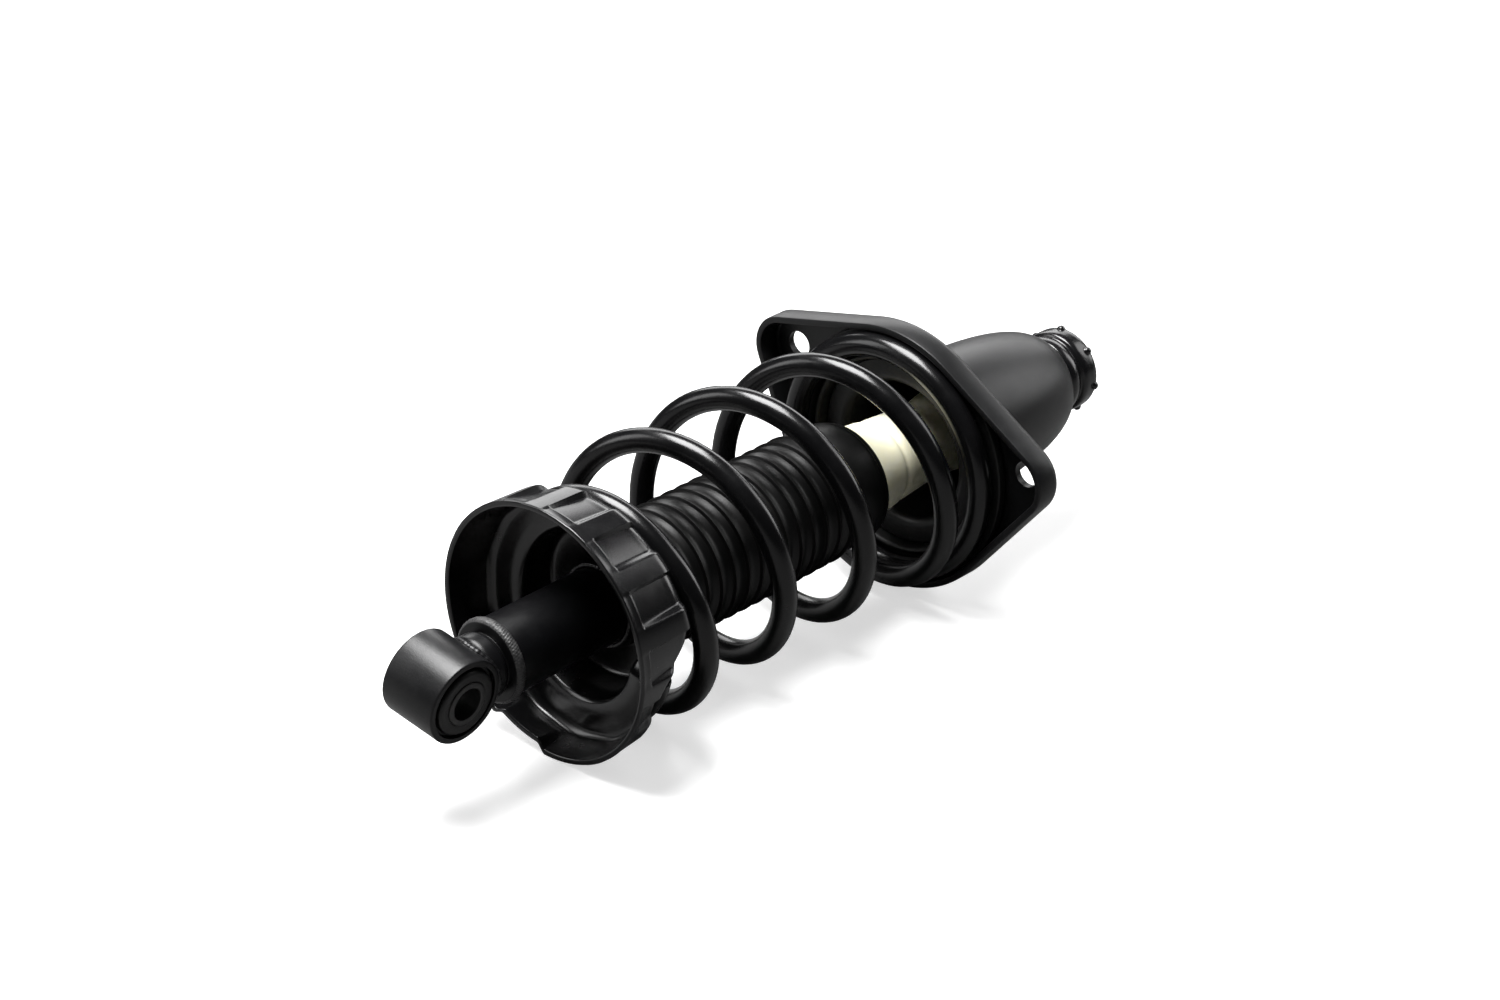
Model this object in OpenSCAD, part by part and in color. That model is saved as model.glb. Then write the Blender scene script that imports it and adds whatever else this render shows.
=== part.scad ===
// Rear coil-over strut: damper, coil spring, lower spring seat, dust boot, bump stop
// and a two-hole top mount with a bell-shaped dome.
// Millimetres, +Z up as fitted to the car. The origin is midway between the two mounting
// holes, on the flange's top face. X runs along the line of the holes.

/* [Strut] */
// Length from the middle of the lower eye to the mounting face
strut_length = 283; // [265:1:310]
// Distance from the line of the mounting holes to the strut's axis
axis_offset = 21.5; // [16:0.5:28]
// Bump travel from full droop until the bump stop touches
travel = 75; // [50:1:82]
// Running clearance of parts that slide or turn in each other, on the radius
run_gap = 0.06; // [0.02:0.01:0.1]
// Clearance between faces that only rest on each other
seat_gap = 0.1; // [0.05:0.05:0.2]
// Clearance between a bonded or pressed piece and its seat, on the radius
bond_gap = 0.03; // [0.02:0.01:0.05]

/* [Mount flange] */
// Distance between the two mounting holes
hole_span = 133; // [124:1:142]
// Diameter of the mounting holes
hole_d = 12; // [8:0.5:14]
// Clearance between the spring and the inside of the skirt
core_gap = 0.95; // [0.8:0.05:4]
// Radius of the flange round each mounting hole
ear_r = 16.5; // [13:0.5:20]
// Thickness of the flange sheet
sheet_t = 3.2; // [2.5:0.1:3.6]
// Depth of the skirt below the mounting face
skirt_h = 14.3; // [12:0.1:18]
// Outside bend radius between the flange and its skirt
bend_r = 4.5; // [3.8:0.1:5.5]

/* [Dome] */
// Outside radius of the dome at the flange
dome_r = 34.6; // [33:0.1:38]
// Height of the dome's rounded top above the flange
dome_h = 92.5; // [86:0.5:98]
// Roundness of the dome's outline
dome_power = 2.48; // [2:0.01:3.2]
// Outside radius of the neck on top of the dome
neck_r = 15; // [14.4:0.1:16.4]
// Height of the neck above the dome
neck_h = 9; // [7:0.5:11]
// Thickness of the dome sheet
dome_t = 2.8; // [2:0.1:3]
// Width of the dome's foot, which is welded under the flange
foot_w = 8.4; // [7:0.1:9]
// Clearance between the dome and the hole it passes through, on the radius
throat_gap = 1.3; // [1.2:0.1:2]

/* [Top cap] */
// Clearance between the cap and the neck, on the radius
cap_gap = 0.3; // [0.2:0.05:0.5]
// Wall of the cap at the waist between its two rings
cap_wall = 2.1; // [1.8:0.1:2.6]
// Distance that the cap's lower ring stands out past the waist
cap_foot_out = 1.5; // [1:0.1:2.2]
// Distance that the cap's upper ring stands out past the waist
cap_ring_out = 2; // [1.5:0.1:2.8]
// Height of the cap
cap_h = 18; // [16:0.5:21]
// Number of grip beads round the cap
bead_count = 7; // [5:1:9]
// Radius of one grip bead
bead_r = 2; // [1.5:0.1:2.4]

/* [Top bush] */
// Height of the bush shell's lower edge above the mounting face
bush_z = 48; // [46:0.5:52]
// Height of the bush shell
bush_h = 13; // [10:0.5:15]
// Thickness of the bush shell sheet
bush_t = 2; // [1.5:0.1:2.5]
// Radius of the opening in the bush shell's upper face
bush_mouth_r = 17; // [15:0.5:20]
// Outside radius of the steel sleeve inside the bush
bush_sleeve_r = 9; // [8:0.1:10.5]

/* [Rod] */
// Diameter of the piston rod
rod_d = 12.4; // [12:0.1:13.5]
// Diameter of the rod's threaded top end
rod_top_d = 10; // [8:0.5:10.5]
// Diameter of the rod's end inside the piston
rod_end_d = 8; // [6:0.5:9]
// Height of the top nut
nut_h = 9; // [7:0.5:10]
// Width of the top nut across its flats
nut_af = 17; // [15:0.5:17.5]
// Thickness of the top washer
washer_t = 2.5; // [2:0.1:3]
// Radius of the top washer
washer_r = 10.6; // [9.5:0.1:10.8]
// Length of thread above the nut
thread_over = 3; // [1:0.5:5]

/* [Bump stop] */
// Height of the bump stop's lower face below the mounting face
bump_depth = 50; // [44:0.5:54]
// Radius of the bump stop's lower end
bump_r = 21.6; // [20.5:0.1:22.4]
// Radius of the bump stop's waist
bump_waist_r = 17.2; // [15.5:0.1:18.5]
// Depth of the shallow groove round the bump stop
bump_groove = 1.3; // [0.8:0.1:2]
// Thickness of the bump stop's cup washer
cup_t = 2.5; // [2:0.1:3]
// Inside radius of the cup washer's rim
cup_r = 20.6; // [19.8:0.1:21.5]
// Depth of the cup washer's rim
cup_rim = 7; // [5:0.5:9]

/* [Damper] */
// Outside radius of the reserve tube
tube_r = 16.8; // [16.2:0.1:18]
// Wall of the reserve tube
tube_t = 1.6; // [1.2:0.1:1.8]
// Inside radius of the working cylinder
bore_r = 12.4; // [11.8:0.1:13.2]
// Wall of the working cylinder
bore_t = 1.25; // [1:0.05:1.4]
// Thickness of the plate on top of the tube that meets the bump stop
strike_t = 1.6; // [1.2:0.1:2]
// Height of the rod guide
guide_h = 9; // [8:0.5:10]
// Height of the oil seal
seal_h = 4.5; // [4:0.1:5]
// Height of the rebound stop on the rod
rebound_h = 5; // [4:0.5:6]
// Height of the piston
piston_h = 12; // [10:0.5:12.5]
// Height of each stack of valve shims
shim_h = 1.2; // [0.8:0.1:1.4]
// Height of the nut under the piston
piston_nut_h = 6; // [5:0.5:6.5]
// Number of oil passages in the piston and in the foot valve
port_count = 6; // [4:1:8]

/* [Lower eye] */
// Outside radius of the eye
eye_r = 18.6; // [17.5:0.1:20]
// Wall of the eye
eye_t = 2.6; // [2:0.1:3.2]
// Width of the eye
eye_w = 28.4; // [24:0.2:32]
// Diameter of the bolt hole through the eye's sleeve
bolt_d = 14.1; // [12.1:0.1:14.3]
// Wall of the eye's sleeve
sleeve_t = 2.6; // [2:0.1:3]
// Length of the eye's sleeve
sleeve_w = 31; // [30:0.2:36]
// Radius of the rubber's raised face round the sleeve
bush_face_r = 14.4; // [12:0.1:15]
// Distance from the middle of the eye to the tube's lower end
tube_lift = 29.4; // [28:0.2:31]
// Radius of the neck between the eye and the ring that closes the tube
neck_foot_r = 14.2; // [13:0.1:15.5]
// Distance that the ring stands out from the tube
foot_ring_out = 1.7; // [1:0.1:2.5]
// Height of the ring
foot_ring_h = 4.4; // [3:0.2:5.4]

/* [Spring] */
// Mean radius of the coil spring
coil_r = 52.5; // [51.8:0.1:53.2]
// Diameter of the spring wire
wire_d = 10.7; // [9.4:0.1:11.4]
// Number of turns from tip to tip
turns = 5.35; // [5.2:0.05:5.8]
// Direction of the spring's lower tip, from X
tip_angle = 8; // [0:0.5:15]
// How far the lower end turn draws in, on the radius
draw_in = 6.8; // [0:0.1:8]
// Rise of the lower end turn over one turn, followed by its seat
lead = 18.6; // [16:0.1:20]
// Sideways bow of the middle turns under the preload
bow = 5.9; // [0:0.1:6.5]
// Direction of the bow, from X
bow_angle = 201; // [180:1:220]

/* [Upper spring pad] */
// Thickness of the rubber pad under the flange
pad_t = 5; // [4:0.1:6]
// Depth of the lips that hold the spring's top turn
pad_lip = 3; // [2:0.1:4]

/* [Lower spring seat] */
// Distance from the middle of the eye to the seat's open rim
rim_lift = 55.5; // [53:0.5:60]
// Distance from the middle of the eye to the seat face under the spring's tip
seat_lift = 72; // [70:0.5:76]
// Distance from the middle of the eye to the top of the seat's pilot
pilot_lift = 98; // [96.5:0.5:100]
// Distance from the wire's centre line out to the wall between its ribs
wall_out = 2.7; // [2.1:0.1:4]
// Distance that the wall draws in from its rim to its shoulder, on the radius
wall_taper = 1.6; // [0:0.1:3]
// Height of the ribs pressed out of the wall
rib_h = 2; // [1:0.1:2.6]
// Number of ribs round the wall
rib_count = 14; // [10:1:16]
// Thickness of the seat sheet
seat_t = 2.6; // [2:0.1:3]
// Clearance between the spring and the pilot that centres it
pilot_gap = 1.95; // [1.3:0.05:3]
// Depth of the dent in the rim
dent_depth = 4.2; // [2:0.1:5]
// Direction of the dent, from X
dent_angle = 98; // [80:1:115]

/* [Dust boot] */
// Clearance between the damper and the inside of the boot's ribs
boot_gap = 6.4; // [5:0.1:8]
// Depth of the boot's ribs
boot_rib = 4; // [3:0.1:4.6]
// Number of ribs
boot_ribs = 14; // [12:1:18]
// Wall of the boot
boot_t = 1.2; // [1:0.1:1.6]
// Height of the boot's smooth collar
boot_collar_h = 24.7; // [20:0.1:28]
// Height of the rounded shoulder at the collar's upper end
boot_round_h = 8.5; // [7:0.5:10]

/* [Hidden] */
$fn = 96;
eps = 0.01;

satin_black = [0.07, 0.07, 0.08];
gloss_black = [0.04, 0.04, 0.05];
rubber_black = [0.09, 0.09, 0.09];
steel = [0.72, 0.73, 0.75];
sintered = [0.45, 0.45, 0.46];
cream = [0.93, 0.91, 0.76];
hard_chrome = [0.85, 0.86, 0.88];

rod_r = rod_d / 2;
rod_top_r = rod_top_d / 2;
rod_end_r = rod_end_d / 2;
wire_r = wire_d / 2;
core_r = coil_r + wire_r + core_gap + sheet_t;
foot_r = dome_r + foot_w;
seat_wall_r = coil_r + wall_out;
end_turn_r = coil_r - draw_in;
pilot_r = end_turn_r - wire_r - pilot_gap;
foot_ring_r = tube_r + foot_ring_out;

// Heights of the stack on the rod, from the bump stop up to the rod's end.
bush_top_z = bush_z + bush_h;
cup_z = bush_z - cup_t - 2.5;
sleeve_z0 = cup_z + cup_t;
sleeve_z1 = bush_top_z + 8;
nut_z = sleeve_z1 + washer_t;
rod_top_z = nut_z + nut_h + thread_over;

// Heights inside the damper at full droop, from the bump stop down to the piston nut.
bump_z = -bump_depth;
strike_z = bump_z - travel - 0.5;
tube_top_z = strike_z - strike_t;
lip_t = 1.5;
seal_z = tube_top_z - lip_t - seal_h;
guide_z = seal_z - guide_h;
spigot_h = 4;
rebound_z = guide_z - 0.5 - rebound_h;
upper_shim_z = rebound_z - shim_h;
piston_z = upper_shim_z - piston_h;
lower_shim_z = piston_z - shim_h;
piston_nut_z = lower_shim_z - piston_nut_h;
rod_end_z = piston_nut_z - 2;

// Heights at the lower end.
eye_z = -strut_length;
tube_z = eye_z + tube_lift;
tube_in_r = tube_r - tube_t;
plug_h = 3;
valve_h = 3;
valve_z = tube_z + plug_h;
bore_z = valve_z + valve_h;

// Heights of the spring and of what it sits on.
rim_z = eye_z + rim_lift;
seat_z = eye_z + seat_lift;
pilot_z = eye_z + pilot_lift;
pad_z = -sheet_t - pad_t;
coil_gap = 0.3;
coil_z0 = seat_z + wire_r + coil_gap;
coil_z1 = pad_z - wire_r - seat_gap;

// The boot hangs from a groove in the bump stop and rests on the seat's pilot.
boot_top_z = bump_z + 8.5;
boot_z = pilot_z + coil_gap;
boot_lip_r = bump_r - 2.2;
strike_r = tube_r + strike_t - 0.6;
boot_r = strike_r + boot_gap + boot_t + boot_rib;

// Rises from 0 to 1 with level ends.
function smooth(x) = let (c = max(0, min(1, x))) c * c * (3 - 2 * c);

module on_axis(z = 0) {
    translate([0, axis_offset, z]) children();
}

module tube(r_out, r_in, h) {
    difference() {
        cylinder(r = r_out, h = h);
        translate([0, 0, -eps]) cylinder(r = r_in, h = h + 2 * eps);
    }
}

// ---- Mount flange ----

ear_x = hole_span / 2;
ear_dist = sqrt(pow(ear_x, 2) + pow(axis_offset, 2));
ear_dir = atan2(-axis_offset, ear_x);
tangent_dir = acos((core_r - ear_r) / ear_dist);
// Outward directions of the straight edges on each side of the right-hand ear.
edge_hi = ear_dir + tangent_dir;
edge_lo = ear_dir - tangent_dir;
throat_r = dome_r + throat_gap;

function on_circle(centre, r, a) = [centre[0] + r * cos(a), centre[1] + r * sin(a)];

// Largest angle between two places on an arc, and the count of steps along a straight edge.
arc_step = 5.6;
edge_steps = 4;

// Places round the outer edge, each a point and the direction it faces.
function arc_places(centre, r, from, to) =
    let (n = ceil((to - from) / arc_step))
    [for (k = [0:n])
        let (a = from + (to - from) * k / n) [on_circle(centre, r, a), a]];
function edge_places(p, q, a) =
    [for (k = [1:edge_steps - 1]) [p + (q - p) * k / edge_steps, a]];

core_at = [0, axis_offset];
ear_at = [ear_x, 0];

// The right-hand half of the outer edge, from straight below the core to straight above it.
half_places = concat(
    arc_places(core_at, core_r, -90, edge_lo),
    edge_places(on_circle(core_at, core_r, edge_lo), on_circle(ear_at, ear_r, edge_lo), edge_lo),
    arc_places(ear_at, ear_r, edge_lo, edge_hi),
    edge_places(on_circle(ear_at, ear_r, edge_hi), on_circle(core_at, core_r, edge_hi), edge_hi),
    arc_places(core_at, core_r, edge_hi, 90)
);
last_place = len(half_places) - 1;
flange_places = concat(half_places, [for (k = [last_place - 1:-1:1])
    let (p = half_places[k]) [[-p[0][0], p[0][1]], 180 - p[1]]]);

// Section of the edge: how far in from the outside, and the height.
skirt_outside = concat(
    [[0, -skirt_h]],
    [for (a = [0:22.5:90]) [bend_r - bend_r * cos(a), -bend_r + bend_r * sin(a)]]
);
skirt_inside = concat(
    [for (a = [90:-30:0])
        [bend_r - (bend_r - sheet_t) * cos(a), -bend_r + (bend_r - sheet_t) * sin(a)]],
    [[sheet_t, -skirt_h]]
);

function edge_point(place, p) = [
    place[0][0] - p[0] * cos(place[1]), place[0][1] - p[0] * sin(place[1]), p[1]];
function throat_point(place, z) =
    let (u = (place[0] - core_at) / norm(place[0] - core_at))
    [core_at[0] + throat_r * u[0], core_at[1] + throat_r * u[1], z];

// Closed solid through a loop of sections with the same number of points each.
module looped(rings) {
    n = len(rings[0]);
    m = len(rings);
    polyhedron(
        points = [for (ring = rings) for (p = ring) p],
        faces = concat(
            [for (i = [0:m - 1]) for (k = [0:n - 1])
                [i * n + k, ((i + 1) % m) * n + k, i * n + (k + 1) % n]],
            [for (i = [0:m - 1]) for (k = [0:n - 1])
                [i * n + (k + 1) % n, ((i + 1) % m) * n + k, ((i + 1) % m) * n + (k + 1) % n]]
        )
    );
}

module mount_flange() {
    color(satin_black) difference() {
        looped([for (place = flange_places) concat(
            [for (p = skirt_outside) edge_point(place, p)],
            [throat_point(place, 0), throat_point(place, -sheet_t)],
            [for (p = skirt_inside) edge_point(place, p)]
        )]);
        for (s = [-1, 1])
            translate([s * ear_x, 0, -sheet_t - 1]) cylinder(d = hole_d, h = sheet_t + 2);
    }
}

// ---- Dome and cap ----

// Inside radius of the bend from the dome's wall to its foot
foot_bend = 1.2;
dome_step = 4;

// Points of the dome's outline, for an outside or inside skin drawn in by t.
function dome_skin(t) = [for (a = [dome_step / 2:dome_step:90]) [
    neck_r - t + (dome_r - neck_r) * pow(cos(a), 2 / dome_power),
    (dome_h - t) * pow(sin(a), 2 / dome_power)
]];

// Inside radius of the dome at a height.
function dome_in(z) = neck_r - dome_t
    + (dome_r - neck_r) * pow(1 - pow(z / (dome_h - dome_t), dome_power), 1 / dome_power);

function reversed(list) = [for (i = [len(list) - 1:-1:0]) list[i]];

module mount_dome() {
    top = dome_h + neck_h;
    bend_at = [dome_r + foot_bend, foot_bend - sheet_t];
    bend_out = foot_bend + dome_t;
    color(satin_black) on_axis() rotate_extrude() polygon(concat(
        [for (b = [0:30:90]) bend_at - bend_out * [cos(b), sin(b)]],
        [[foot_r, -sheet_t - dome_t], [foot_r, -sheet_t]],
        [for (b = [90:-30:0]) bend_at - foot_bend * [cos(b), sin(b)]],
        dome_skin(0),
        [[neck_r, top - 0.8], [neck_r - 0.8, top], [neck_r - dome_t, top]],
        reversed(dome_skin(dome_t))
    ));
}

cap_z = dome_h + 1.2;
cap_top_z = cap_z + cap_h;
cap_waist_r = neck_r + cap_gap + cap_wall;
cap_foot_r = cap_waist_r + cap_foot_out;
cap_ring_r = cap_waist_r + cap_ring_out;

module cap_body() {
    bore = neck_r + cap_gap;
    ceiling = dome_h + neck_h + seat_gap;
    rotate_extrude() polygon([
        [bore, cap_z], [cap_foot_r - 1, cap_z], [cap_foot_r, cap_z + 1.4],
        [cap_foot_r, cap_z + 5], [cap_foot_r - 0.5, cap_z + 6.2],
        [cap_waist_r, cap_z + 7.2], [cap_waist_r, cap_z + 9],
        [cap_ring_r - 0.6, cap_z + 9.8], [cap_ring_r, cap_z + 11.2],
        [cap_ring_r, cap_top_z - 2.6], [cap_ring_r - 0.8, cap_top_z - 1],
        [cap_ring_r - 2.4, cap_top_z - 0.2], [cap_ring_r - 4.2, cap_top_z],
        [cap_ring_r - 5.4, cap_top_z - 1], [0, cap_top_z - 1], [0, ceiling], [bore, ceiling]
    ]);
}

module top_cap() {
    color(gloss_black) on_axis() union() {
        cap_body();
        for (k = [0:bead_count - 1])
            rotate([0, 0, k * 360 / bead_count])
                translate([cap_ring_r - 0.2, 0, cap_z + 10.4])
                    cylinder(r = bead_r, h = cap_h - 13.6);
    }
}

// ---- Top bush and the stack on the rod ----

shell_r = dome_in(bush_top_z) - seat_gap - 0.15;

module bush_shell() {
    color(steel) on_axis(bush_z) difference() {
        cylinder(r = shell_r, h = bush_h);
        translate([0, 0, -eps]) cylinder(r = shell_r - bush_t, h = bush_h - bush_t + eps);
        cylinder(r = bush_mouth_r, h = bush_h + 1);
    }
}

module top_bush() {
    r_out = shell_r - bush_t - bond_gap;
    r_in = bush_sleeve_r + bond_gap;
    roof = bush_top_z - bush_t - bond_gap;
    color(rubber_black) on_axis() rotate_extrude() polygon([
        [r_in, bush_z - 1.5], [r_in + 4, bush_z - 1.5], [r_out - 4, bush_z + 2.5],
        [r_out, bush_z + 3], [r_out, roof], [bush_mouth_r - bond_gap, roof],
        [bush_mouth_r - bond_gap, bush_top_z + 2], [bush_mouth_r - 2, bush_top_z + 4],
        [r_in + 1.5, bush_top_z + 6], [r_in, bush_top_z + 6]
    ]);
}

module bush_sleeve() {
    color(steel) on_axis(sleeve_z0)
        tube(bush_sleeve_r, rod_top_r + seat_gap, sleeve_z1 - sleeve_z0);
}

module top_washer() {
    color(steel) on_axis(sleeve_z1) tube(washer_r, rod_top_r + seat_gap, washer_t);
}

module rod_nut() {
    color(steel) on_axis(nut_z) difference() {
        intersection() {
            cylinder(r = nut_af / sqrt(3), h = nut_h, $fn = 6);
            rotate_extrude() polygon([
                [0, 0], [nut_af / 2, 0], [nut_af * 0.6, 1], [nut_af * 0.6, nut_h - 1],
                [nut_af / 2, nut_h], [0, nut_h]
            ]);
        }
        translate([0, 0, -1]) cylinder(r = rod_top_r + bond_gap, h = nut_h + 2);
    }
}

module cup_washer() {
    color(steel) on_axis() rotate_extrude() polygon([
        [rod_top_r + seat_gap, cup_z], [cup_r - 1, cup_z], [cup_r, cup_z - 1],
        [cup_r + 0.6, cup_z - cup_rim], [cup_r + 2.4, cup_z - cup_rim - 0.6],
        [cup_r + 2.2, cup_z - 0.6], [cup_r - 0.4, cup_z + cup_t],
        [rod_top_r + seat_gap, cup_z + cup_t]
    ]);
}

groove_z = bump_z + 28;
waist_z = bump_z + 58;

module bump_stop() {
    bore = rod_r + seat_gap;
    top = cup_z - seat_gap;
    lip_z0 = boot_top_z - 3.5 - seat_gap;
    lip_z1 = boot_top_z + seat_gap;
    lean = (bump_r - bump_waist_r) / (waist_z - lip_z1);
    groove_r = bump_r - lean * (groove_z - lip_z1);
    color(cream) on_axis() rotate_extrude() polygon([
        [bore, bump_z], [bump_r - 5, bump_z], [bump_r - 2.2, bump_z + 1.2],
        [bump_r - 1, bump_z + 2.6], [bump_r - 1, lip_z0], [boot_lip_r, lip_z0],
        [boot_lip_r, lip_z1], [bump_r - 0.8, lip_z1], [bump_r, lip_z1 + 1],
        [groove_r + 2 * lean, groove_z - 2], [groove_r + lean - bump_groove * 0.8, groove_z - 1],
        [groove_r - bump_groove, groove_z], [groove_r - lean - bump_groove * 0.8, groove_z + 1],
        [groove_r - 2 * lean, groove_z + 2], [bump_waist_r + 0.5, waist_z - 6],
        [bump_waist_r, waist_z], [bump_waist_r + 0.6, waist_z + 6],
        [cup_r - 1.4, waist_z + 13], [cup_r - 1.2, top - 1.2], [cup_r - 2.2, top], [bore, top]
    ]);
}

// ---- Dust boot ----

rib_z0 = boot_z + 4.5;
rib_z1 = boot_top_z - boot_collar_h;
rib_pitch = (rib_z1 - rib_z0) / boot_ribs;

// One rib as shares of the pitch and of the depth in from its crest.
rib_shape = [[0, 1], [0.14, 0.9], [0.38, 0.16], [0.46, 0.02], [0.54, 0.02], [0.62, 0.16], [0.86, 0.9]];
boot_waves = concat(
    [for (k = [0:boot_ribs - 1]) for (p = rib_shape)
        [boot_r - boot_rib * p[1], rib_z0 + rib_pitch * (k + p[0])]],
    [[boot_r - boot_rib, rib_z1]]
);

module dust_boot() {
    root_r = boot_r - boot_rib;
    side_r = boot_r - boot_rib / 3;
    lip = boot_lip_r + seat_gap;
    end_r = bump_r + 1.3;
    round_z = boot_top_z - boot_round_h;
    color(rubber_black) on_axis() rotate_extrude() polygon(concat(
        [[root_r - boot_t, boot_z], [root_r, boot_z]],
        boot_waves,
        [[side_r - 0.5, rib_z1 + 2.6], [side_r, rib_z1 + 4]],
        [for (b = [0:15:90]) [
            end_r + (side_r - end_r) * cos(b), round_z + boot_round_h * sin(b)]],
        [
            [lip, boot_top_z], [lip, boot_top_z - 3.5],
            [bump_r - 1 + seat_gap, boot_top_z - 3.5], [bump_r - 1 + seat_gap, boot_top_z - 4.5],
            [side_r - boot_t - 1.6, round_z + 2.4], [side_r - boot_t, round_z - 0.5],
            [side_r - boot_t, rib_z1 + 4], [side_r - boot_t - 0.5, rib_z1 + 2.6]
        ],
        reversed([for (p = boot_waves) [p[0] - boot_t, p[1]]])
    ));
}

// ---- Coil spring ----

turn_rings = 28;
wire_sides = 10;
lift_off = [0.7, 1.05];
spread_out = [0.78, 1.02];
settle = [turns - 1.2, turns - 0.8];
flat_rise = 1;

// Integral of a ramp that climbs from 0 to 1 between two places along the wire.
function ramp(t, span) = t < span[0] ? 0
    : t < span[1] ? pow(t - span[0], 2) / (2 * (span[1] - span[0]))
    : (span[1] - span[0]) / 2 + t - span[1];

pitch = (coil_z1 - coil_z0 - lead * turns + lead * ramp(turns, lift_off)
    - flat_rise * ramp(turns, settle)) / (ramp(turns, lift_off) - ramp(turns, settle));

function coil_z(t) = coil_z0 + lead * t + (pitch - lead) * ramp(t, lift_off)
    + (flat_rise - pitch) * ramp(t, settle);

// The lower end turn runs on a smaller radius, then spreads out to the spring's own radius.
function turn_r(t) =
    coil_r - draw_in * (1 - smooth((t - spread_out[0]) / (spread_out[1] - spread_out[0])));

// The middle turns stand off to one side; the end turns stay centred on their seats.
bow_end = turns - 0.35;
function bow_at(t) = t < bow_end ? bow * pow(sin(180 * t / bow_end), 2) : 0;
function coil_point(t) = let (a = tip_angle + 360 * t, b = bow_at(t), r = turn_r(t)) [
    r * cos(a) + b * cos(bow_angle), r * sin(a) + b * sin(bow_angle), coil_z(t)];
function coil_slope(t) = atan2(coil_z(t + 0.01) - coil_z(t - 0.01), 0.04 * PI * coil_r);

function wire_ring(t) = let (a = tip_angle + 360 * t, s = coil_slope(t), c = coil_point(t))
    [for (k = [0:wire_sides - 1]) let (p = 360 * k / wire_sides)
        c + wire_r * (cos(p) * [cos(a), sin(a), 0]
            + sin(p) * [sin(a) * sin(s), -cos(a) * sin(s), cos(s)])];

// Closed tube over a list of rings with the same number of points each.
module swept(rings) {
    n = len(rings[0]);
    last = len(rings) - 1;
    polyhedron(
        points = [for (ring = rings) for (p = ring) p],
        faces = concat(
            [for (i = [0:last - 1]) for (k = [0:n - 1])
                [i * n + k, i * n + (k + 1) % n, (i + 1) * n + k]],
            [for (i = [0:last - 1]) for (k = [0:n - 1])
                [i * n + (k + 1) % n, (i + 1) * n + (k + 1) % n, (i + 1) * n + k]],
            [for (k = [1:n - 2]) [0, k + 1, k]],
            [for (k = [1:n - 2]) [last * n, last * n + k, last * n + k + 1]]
        )
    );
}

coil_rings = round(turns * turn_rings);
coil_centres = [for (i = [0:coil_rings]) coil_point(turns * i / coil_rings)];
coil_self_gap = min([for (i = [0:coil_rings - turn_rings / 2])
    for (j = [i + turn_rings / 2:min(i + 3 * turn_rings / 2, coil_rings)])
        norm(coil_centres[i] - coil_centres[j])]) - wire_d;
echo(coil_least_gap_to_itself = coil_self_gap);

module coil_spring() {
    color(gloss_black) on_axis()
        swept([for (i = [0:coil_rings]) wire_ring(turns * i / coil_rings)]);
}

// ---- Rod, piston and rebound stop ----

module piston_rod() {
    color(hard_chrome) on_axis() union() {
        translate([0, 0, piston_z + piston_h + shim_h])
            cylinder(r = rod_r, h = cup_z - piston_z - piston_h - shim_h);
        translate([0, 0, rod_end_z])
            cylinder(r = rod_end_r, h = piston_z + piston_h + shim_h - rod_end_z + eps);
        translate([0, 0, cup_z - eps]) cylinder(r = rod_top_r, h = rod_top_z - cup_z - 1 + eps);
        translate([0, 0, rod_top_z - 1]) cylinder(r1 = rod_top_r, r2 = rod_top_r - 1, h = 1);
    }
}

module rebound_stop() {
    color(rubber_black) on_axis(rebound_z)
        tube(bore_r - 2.5, rod_r + bond_gap, rebound_h);
}

module shims() {
    rotate_extrude() polygon([
        [rod_end_r + seat_gap, 0], [bore_r - 3, 0], [bore_r - 3, shim_h / 2],
        [bore_r - 5.5, shim_h], [rod_end_r + seat_gap, shim_h]
    ]);
}

module upper_shims() {
    color(steel) on_axis(upper_shim_z) shims();
}

module lower_shims() {
    color(steel) on_axis(lower_shim_z + shim_h) mirror([0, 0, 1]) shims();
}

band_h = piston_h * 0.6;

module piston() {
    color(sintered) on_axis(piston_z) difference() {
        cylinder(r = bore_r - 1, h = piston_h);
        translate([0, 0, -1]) cylinder(r = rod_end_r + seat_gap, h = piston_h + 2);
        translate([0, 0, (piston_h - band_h) / 2]) difference() {
            cylinder(r = bore_r, h = band_h);
            translate([0, 0, -1]) cylinder(r = bore_r - 2, h = band_h + 2);
        }
        for (k = [0:port_count - 1]) rotate([0, 0, k * 360 / port_count])
            translate([(rod_end_r + bore_r) / 2, 0, -1]) cylinder(r = 1.3, h = piston_h + 2);
    }
}

module piston_band() {
    color(rubber_black) on_axis(piston_z + (piston_h - band_h) / 2 + bond_gap)
        tube(bore_r - run_gap, bore_r - 2 + bond_gap, band_h - 2 * bond_gap);
}

module piston_nut() {
    color(steel) on_axis(piston_nut_z) difference() {
        cylinder(r = rod_end_r * 1.7, h = piston_nut_h, $fn = 6);
        translate([0, 0, -1]) cylinder(r = rod_end_r + bond_gap, h = piston_nut_h + 2);
    }
}

// ---- Damper tube and what it holds ----

module strike_plate() {
    color(steel) on_axis() rotate_extrude() polygon([
        [rod_r + 3, strike_z], [strike_r - strike_t, strike_z], [strike_r, strike_z - 1],
        [strike_r, tube_top_z - 9], [tube_r + bond_gap, tube_top_z - 9],
        [tube_r + bond_gap, tube_top_z], [rod_r + 3, tube_top_z]
    ]);
}

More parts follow.
